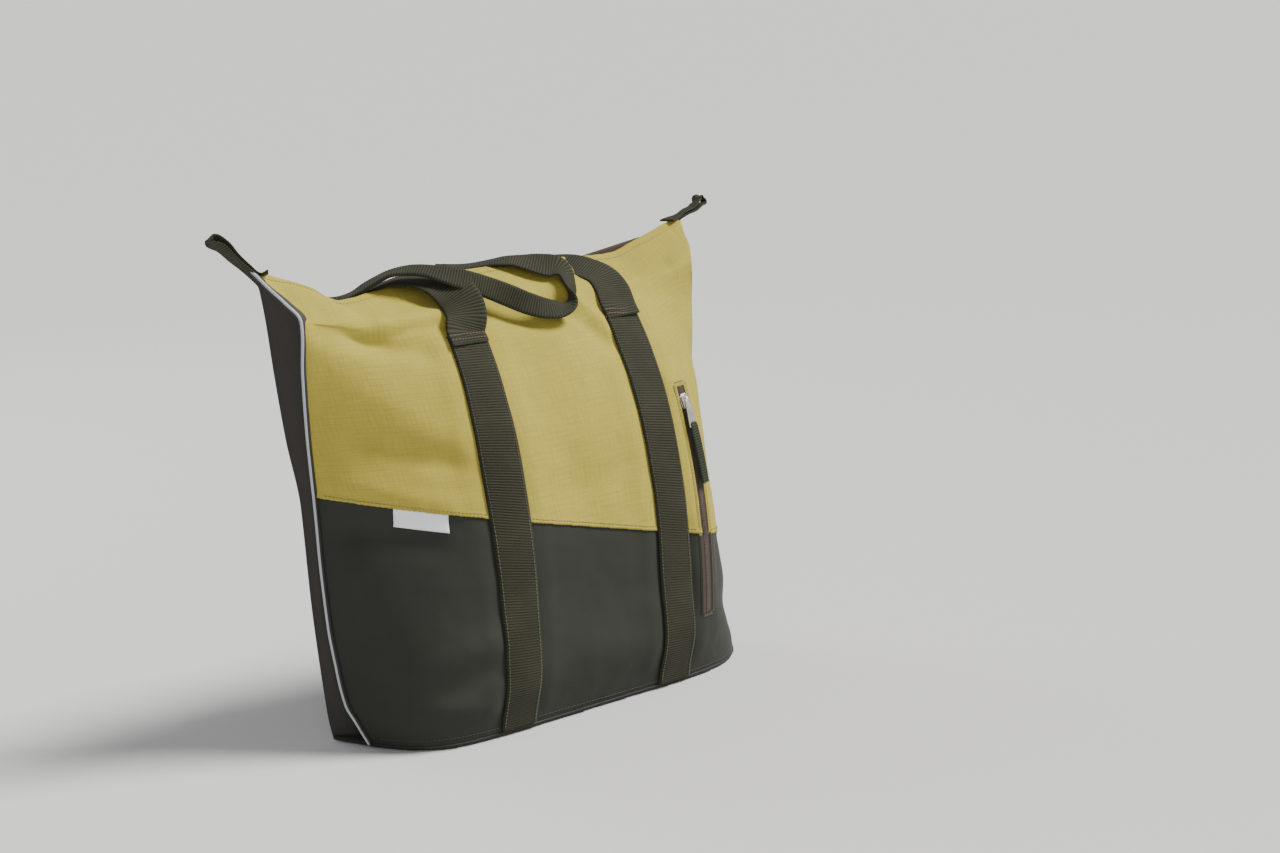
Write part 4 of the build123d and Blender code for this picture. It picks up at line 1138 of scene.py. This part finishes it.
def zip_place(t, z, out):
    """Points across and up the pocket zip, out from its arc."""
    point, normal = zip_frame(z, out)
    return point + np.multiply.outer(np.asarray(t, float), ZIP_ACROSS), normal


RING_CORNER, RING_STEP = 2.5, 1.2


def ring_path(half, low, high):
    """Even (t, z) points once round a rounded rectangle."""
    points = []
    for cx, cz, start in ((half, high, 0), (-half, high, 90), (-half, low, 180), (half, low, 270)):
        inner_x = cx - math.copysign(RING_CORNER, cx)
        inner_z = cz - RING_CORNER if cz == high else cz + RING_CORNER
        for k in range(7):
            angle = math.radians(start + 15 * k)
            points.append((inner_x + RING_CORNER * math.cos(angle), inner_z + RING_CORNER * math.sin(angle)))
    points.append(points[0])
    flat = resample(np.hstack([np.array(points), np.zeros((len(points), 1))]), RING_STEP)
    return flat[:, :2]


def make_window():
    """The turned edge round the zip's window, yellow above the seam and olive below, and its topstitching."""
    path = ring_path(7.0, ZIP_LOW + 0.4, ZIP_HIGH - 0.4)
    seam = seam_z(134.5)
    upper, lower = path[:, 1] > seam - 1, path[:, 1] <= seam + 1
    for name, material, slot, keep, inset in (("window_edge_upper", YELLOW, "yellow_fabric", upper, 1.25),
                                              ("window_edge_lower", OLIVE, "coated_fabric", lower, 0.75)):
        place, normal = zip_place(path[:, 0], path[:, 1], ZIP_FABRIC + inset)
        runs = split_runs(place, normal, keep)
        if keep[0] and keep[-1] and len(runs) > 1:
            first, last = runs[0], runs.pop()
            runs[0] = (np.vstack([last[0], first[0][1:]]), np.vstack([last[1], first[1][1:]]))
        line, up = runs[0]
        tangent = np.gradient(line, axis=0)
        tangent /= np.linalg.norm(tangent, axis=1, keepdims=True)
        across = np.cross(up, tangent)
        rings = []
        for turn in np.linspace(0, 2 * math.pi, 12, endpoint=False):
            rings.append(line + across * (1.75 * math.cos(turn)) + up * (0.55 * math.sin(turn)))
        piece = tube_piece(name, np.stack(rings, axis=1), material)
        hand_over(piece, "bag", slot)
    ring = ring_path(7.5, ZIP_LOW - 0.2, ZIP_HIGH + 0.2)
    above = ring[:, 1] > seam
    for name, material, slot, keep, rise in (("upper", YELLOW_THREAD, "yellow_fabric", above, 1.75),
                                             ("lower", OLIVE_THREAD, "coated_fabric", ~above, 1.3)):
        place, normal = zip_place(ring[:, 0], ring[:, 1], ZIP_FABRIC + rise)
        sew("window_stitches_" + name, split_runs(place, normal, keep), material, slot, length=2.2, gap=0.9)
    bars = [zip_place(np.linspace(-6.5, 6.5, 8), np.full(8, z), ZIP_FABRIC + 1.0)
            for z in (ZIP_HIGH + 1.6, ZIP_LOW - 1.6)]
    sew("window_bar_tacks", bars, OLIVE_THREAD, "coated_fabric", length=2.4, gap=0.3, width=1.1)


TOOTH_RINGS = ((2.5, 0.55), (1.9, 0.95), (0.2, 1.0), (-0.55, 0.7))      # reach across the zip, and size


def coil_teeth(spots, across, out, along, pitch):
    """Zip coil teeth as small rounded loops, alternating from the two tapes."""
    vertices, faces = [], []
    for k, (spot, side_way, out_way, along_way) in enumerate(zip(spots, across, out, along)):
        side = 1 if k % 2 else -1
        start = len(vertices)
        for reach, size in TOOTH_RINGS:
            centre = spot + side_way * (side * reach)
            for angle in range(0, 360, 60):
                turn = math.radians(angle)
                spoke = along_way * (0.62 * pitch * math.cos(turn)) + out_way * (0.72 * math.sin(turn))
                vertices.append(centre + size * spoke)
        for ring in range(3):
            for j in range(6):
                a, b = start + ring * 6 + j, start + ring * 6 + (j + 1) % 6
                faces.append((a, b, b + 6, a + 6))
        faces.append(tuple(start + j for j in reversed(range(6))))
        faces.append(tuple(start + 18 + j for j in range(6)))
    return vertices, faces


def make_pocket_zip():
    zs = np.arange(ZIP_LOW, ZIP_HIGH + 0.1, 1.5)
    points = np.array([zip_place(np.full(len(zs), t), zs, 3.15)[0] for t in np.linspace(-9.5, 9.5, 9)])
    uvs = np.stack(np.meshgrid(zs * MM, np.linspace(-0.0095, 0.0095, 9)), -1)[..., ::-1]
    tape = cloth_piece("pocket_tape", points, uvs, ZIP_TAPE, 0.7)
    hand_over(tape, "bag", "zip_tape", "pocket_zip_tape", "pocket_lining")
    pitch = 0.85
    spots_z = np.arange(ZIP_LOW + 2, ZIP_HIGH - 2, pitch)
    spots, normals = zip_place(np.zeros(len(spots_z)), spots_z, 3.95)
    along = np.cross(normals, np.tile(ZIP_ACROSS, (len(spots), 1)))
    vertices, faces = coil_teeth(spots, np.tile(ZIP_ACROSS, (len(spots), 1)), normals, along, pitch)
    coil = new_piece("pocket_coil", vertices, faces, ZIP_COIL, np.zeros((len(vertices), 2)))
    hand_over(coil, "bag", "zip_coil", "pocket_zip_coil")


def plate(name, outlines, depth, bevel, material, axes):
    """A bevelled plate from flat outlines (later ones are holes), placed by origin, right, up and out."""
    curve = bpy.data.curves.new(name, "CURVE")
    curve.dimensions = "2D"
    curve.fill_mode = "BOTH"
    curve.extrude = (depth / 2 - bevel) * MM
    curve.bevel_depth = bevel * MM
    curve.bevel_resolution = 2
    for outline in outlines:
        spline = curve.splines.new("POLY")
        spline.points.add(len(outline) - 1)
        for k, (x, y) in enumerate(outline):
            spline.points[k].co = (x * MM, y * MM, 0, 1)
        spline.use_cyclic_u = True
    shape = bpy.data.objects.new(name + "_outline", curve)
    bpy.context.scene.collection.objects.link(shape)
    mesh = bpy.data.meshes.new_from_object(shape)
    bpy.data.objects.remove(shape)
    origin, right, up, out = [np.array(v, float) for v in axes]
    matrix = Matrix([[right[i], up[i], out[i], origin[i] * MM] for i in range(3)] + [[0, 0, 0, 1]])
    mesh.transform(matrix)
    mesh.name = name
    mesh.materials.clear()
    mesh.materials.append(material)
    piece = bpy.data.objects.new(name, mesh)
    bpy.context.scene.collection.objects.link(piece)
    for polygon in mesh.polygons:
        polygon.use_smooth = False
    return piece


def arc_outline(*corners):
    """An outline from (x, y, radius) corners, each rounded by an arc."""
    points = []
    count = len(corners)
    for i, (x, y, radius) in enumerate(corners):
        here = np.array((x, y), float)
        before = np.array(corners[i - 1][:2], float) - here
        after = np.array(corners[(i + 1) % count][:2], float) - here
        before /= np.linalg.norm(before)
        after /= np.linalg.norm(after)
        half = 0.5 * math.acos(np.clip(np.dot(before, after), -1, 1))
        reach = radius / math.tan(half)
        start, end = here + before * reach, here + after * reach
        for t in np.linspace(0, 1, 6):
            points.append(tuple((1 - t) ** 2 * start + 2 * t * (1 - t) * here + t * t * end))
    return points


def join(name, pieces):
    """Joins pieces into one object, their materials kept."""
    bpy.ops.object.select_all(action="DESELECT")
    for piece in pieces:
        piece.select_set(True)
    bpy.context.view_layer.objects.active = pieces[0]
    bpy.ops.object.join()
    pieces[0].name = name
    pieces[0].data.name = name
    return pieces[0]


SLIDER_HALF = 5.0           # half width of a slider


def make_slider(name, node, body, axes, pivot_out):
    """A zip slider: two plates joined at the nose, and the bridge that holds the pull."""
    origin, right, up, out = [np.array(v, float) for v in axes]
    top = arc_outline((-SLIDER_HALF, 4.5, 2.2), (-SLIDER_HALF + 1.6, -6.0, 1.4),
                      (SLIDER_HALF - 1.6, -6.0, 1.4), (SLIDER_HALF, 4.5, 2.2), (0, 7.4, 1.2))
    parts = [plate(name + "_top", [top], 1.0, 0.35, NICKEL, (origin + out * 1.45, right, up, out)),
             plate(name + "_base", [top], 0.9, 0.3, NICKEL, (origin - out * 1.0, right, up, out))]
    bridge = []
    for angle in np.linspace(0, math.pi, 17):
        rise = 1.6 + (pivot_out - 0.1) * math.sin(angle) ** 0.6
        bridge.append(origin + up * (3.9 * math.cos(angle)) + out * rise)
    bridge = np.array(bridge)
    _, across, normal = frames_along(bridge, np.tile(right, (len(bridge), 1)))
    rings = []
    for turn in np.linspace(0, 2 * math.pi, 10, endpoint=False):
        rings.append(bridge + across * (1.25 * math.cos(turn)) + normal * (0.6 * math.sin(turn)))
    parts.append(tube_piece(name + "_bridge", np.stack(rings, axis=1), NICKEL))
    hand_over(join(name, parts), body, "nickel", node)


def make_pull(name, node, body, axes, tail):
    """A pull tab that hangs from the bridge; its origin is the pivot."""
    outline = arc_outline((-2.6, 0.9, 1.0), (-3.0, -6, 1.5), (-4.6, -tail, 1.6), (4.6, -tail, 1.6),
                          (3.0, -6, 1.5), (2.6, 0.9, 1.0))
    eye = arc_outline((-1.7, -0.75, 0.4), (1.7, -0.75, 0.4), (1.5, -5.2, 0.9), (-1.5, -5.2, 0.9))
    high, low = -tail + 5.2, -tail + 2.0
    slot = arc_outline((-2.9, high, 0.8), (2.9, high, 0.8), (2.9, low, 0.8), (-2.9, low, 0.8))
    piece = plate(name, [outline, eye, slot], 1.4, 0.4, NICKEL, axes)
    hand_over(piece, body, "nickel", node)


POCKET_SLIDER_Z = 256.0
TOP_SLIDER_X, TOP_ZIP_Z = 162.0, 373.0
# The ribbon on the pocket pull: distance below the pivot, rise off the cloth, twist and width
PULL_RIBBON = ((19.5, 1.7, 0, 8.6), (22.5, 2.4, 0, 9.6), (28, 1.9, 0.03, 10), (38, 1.5, 0.08, 9.8),
               (50, 1.2, 0.10, 9.4), (62, 0.9, 0.08, 9.0), (74, 0.6, 0.05, 8.6))


def make_sliders():
    spot, normal = zip_frame(POCKET_SLIDER_Z, 5.4)
    up = np.cross(normal, ZIP_ACROSS)
    make_slider("pocket_slider_metal", "pocket_slider", "pocket_slider", (spot, ZIP_ACROSS, up, normal), 2.0)
    pivot, _ = zip_frame(POCKET_SLIDER_Z, 8.4)
    make_pull("pocket_pull_metal", "pocket_pull", "pocket_pull", (pivot, ZIP_ACROSS, up, normal), 24.5)
    route = []
    for down, rise, twist, width in PULL_RIBBON:
        place, out = zip_frame(POCKET_SLIDER_Z - down, 7.9 + rise * 0.6)
        place = place + ZIP_ACROSS * (0.2 + 0.07 * (down - PULL_RIBBON[0][0]))
        route.append(tuple(place) + tuple(ZIP_ACROSS + out * twist) + (width, 2.6))
    ribbon = band_piece("pocket_pull_ribbon", route, RIBBON, 0.3)
    hand_over(ribbon, "pocket_pull", "ribbon", "pocket_ribbon")
    spot, pivot = (TOP_SLIDER_X, 58.9, TOP_ZIP_Z), (TOP_SLIDER_X, 61.7, TOP_ZIP_Z)
    make_slider("top_slider_metal", "top_slider", "top_slider", (spot, (0, 0, 1), (1, 0, 0), (0, 1, 0)), 1.9)
    make_pull("top_pull_metal", "top_pull", "top_pull", (pivot, (-1, 0, 0), (0, 0, 1), (0, 1, 0)), 15.5)


def make_top_zip():
    xs = np.linspace(-200, 198, 160)
    share = np.linspace(0, 1, 7)[:, None]
    over_hem = np.where((xs > 104) & (xs < 174), np.interp(xs, (104, 174), (387, 396.5)), 0)
    front_top = np.maximum(hem_z(xs) - 4, over_hem)
    for name, node, low, high in (("top_tape_back", "top_zip_tape_back", 357 + 0 * xs, 371.8 + 0 * xs),
                                  ("top_tape_front", "top_zip_tape_front", 374.2 + 0 * xs, front_top)):
        z = low + (high - low) * share
        x = np.tile(xs, (7, 1))
        y = 55.75 + 0.25 * ripple(x, z, 18, 3.0)
        points = np.stack([x, y, z], axis=-1)
        piece = cloth_piece(name, points, np.stack([x * MM, z * MM], axis=-1), ZIP_TAPE, 0.7, flip=True)
        hand_over(piece, "bag", "zip_tape", node)
        inset = xs[3:-3]
        heights = (359.5 + 0 * inset, 362.5 + 0 * inset) if "back" in name else (hem_z(inset) - 6.5,)
        rows = [row_on_back(np.stack([inset, 56.2 + 0 * inset, height], axis=-1)) for height in heights]
        sew(name + "_stitches", rows, DARK_THREAD, "zip_tape", width=0.6)
    pitch = 0.95
    xs = np.arange(-176, 176, pitch)
    count = len(xs)
    spots = np.stack([xs, np.full(count, 56.8), np.full(count, TOP_ZIP_Z)], axis=-1)
    ways = [np.tile(v, (count, 1)) for v in ((0, 0, 1.0), (0, 1.0, 0), (1.0, 0, 0))]
    vertices, faces = coil_teeth(spots, *ways, pitch)
    coil = new_piece("top_coil", vertices, faces, ZIP_COIL, np.zeros((len(vertices), 2)))
    hand_over(coil, "bag", "zip_coil", "top_zip_coil")


LATCH_Y, LATCH_Z = 89.0, 306.0      # the pins of the latch levers
COIL_RADIUS, COIL_RUN = 2.35, 2.0


def make_latch_springs():
    """Torsion springs on both sides of each latch lever."""
    for name, hook_x in (("rear", -128.0), ("front", 128.0)):
        coils = []
        for side in (-1, 1):
            path = []
            for k in range(81):
                turn = math.radians(270 + k * 18)
                path.append((hook_x + side * (6.9 + COIL_RUN * k / 80),
                             LATCH_Y + COIL_RADIUS * math.cos(turn),
                             LATCH_Z + COIL_RADIUS * math.sin(turn)))
            coil = round_tube(f"spring_{name}_{side}", path, 0.3, STEEL, sides=8, guide=(1, 0.02, 0.01))
            coils.append(coil)
        hand_over(join(f"latch_spring_wires_{name}", coils), f"{name}_hook", "steel", f"latch_springs_{name}")


# ------------------------------------------------------------------ everything, in order

make_front_panels()
make_gusset(-1, 0, rear_back_x, "rear_gusset_cloth", "gusset_rear")
make_gusset(1, -1, front_back_x, "front_gusset_cloth", "gusset_front")
make_back()
make_base()
make_piping(-1, 0, "rear_piping_cord", "piping_rear")
make_piping(1, COLUMNS - 1, "front_piping_cord", "piping_front")
make_front_strap(-1, "front_strap_rear_webbing", "front_strap_rear")
make_front_strap(1, "front_strap_front_webbing", "front_strap_front")
make_handles()
make_back_straps()
make_tabs()
make_seam_stitches()
make_back_stitches()
make_label()
make_window()
make_pocket_zip()
make_sliders()
make_top_zip()
make_latch_springs()

CAD_FINISH = {
    BLACK: ["hook_rail", "lower_rail", "rack_hook_rear", "rack_hook_front", "rail_end_caps",
            "stabiliser_carriage", "stabiliser_hook"],
    DARK_GREY: ["hook_insert_rear", "hook_insert_front", "latch_lever_rear", "latch_lever_front"],
    STEEL: ["latch_pin_rear", "latch_pin_front", "rail_screws", "rail_nuts", "stabiliser_screw"],
    SHEET: ["base_board", "back_board"],
}
for finish, nodes in CAD_FINISH.items():
    for node in nodes:
        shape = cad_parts[node]
        shape.data.materials.clear()
        shape.data.materials.append(finish)
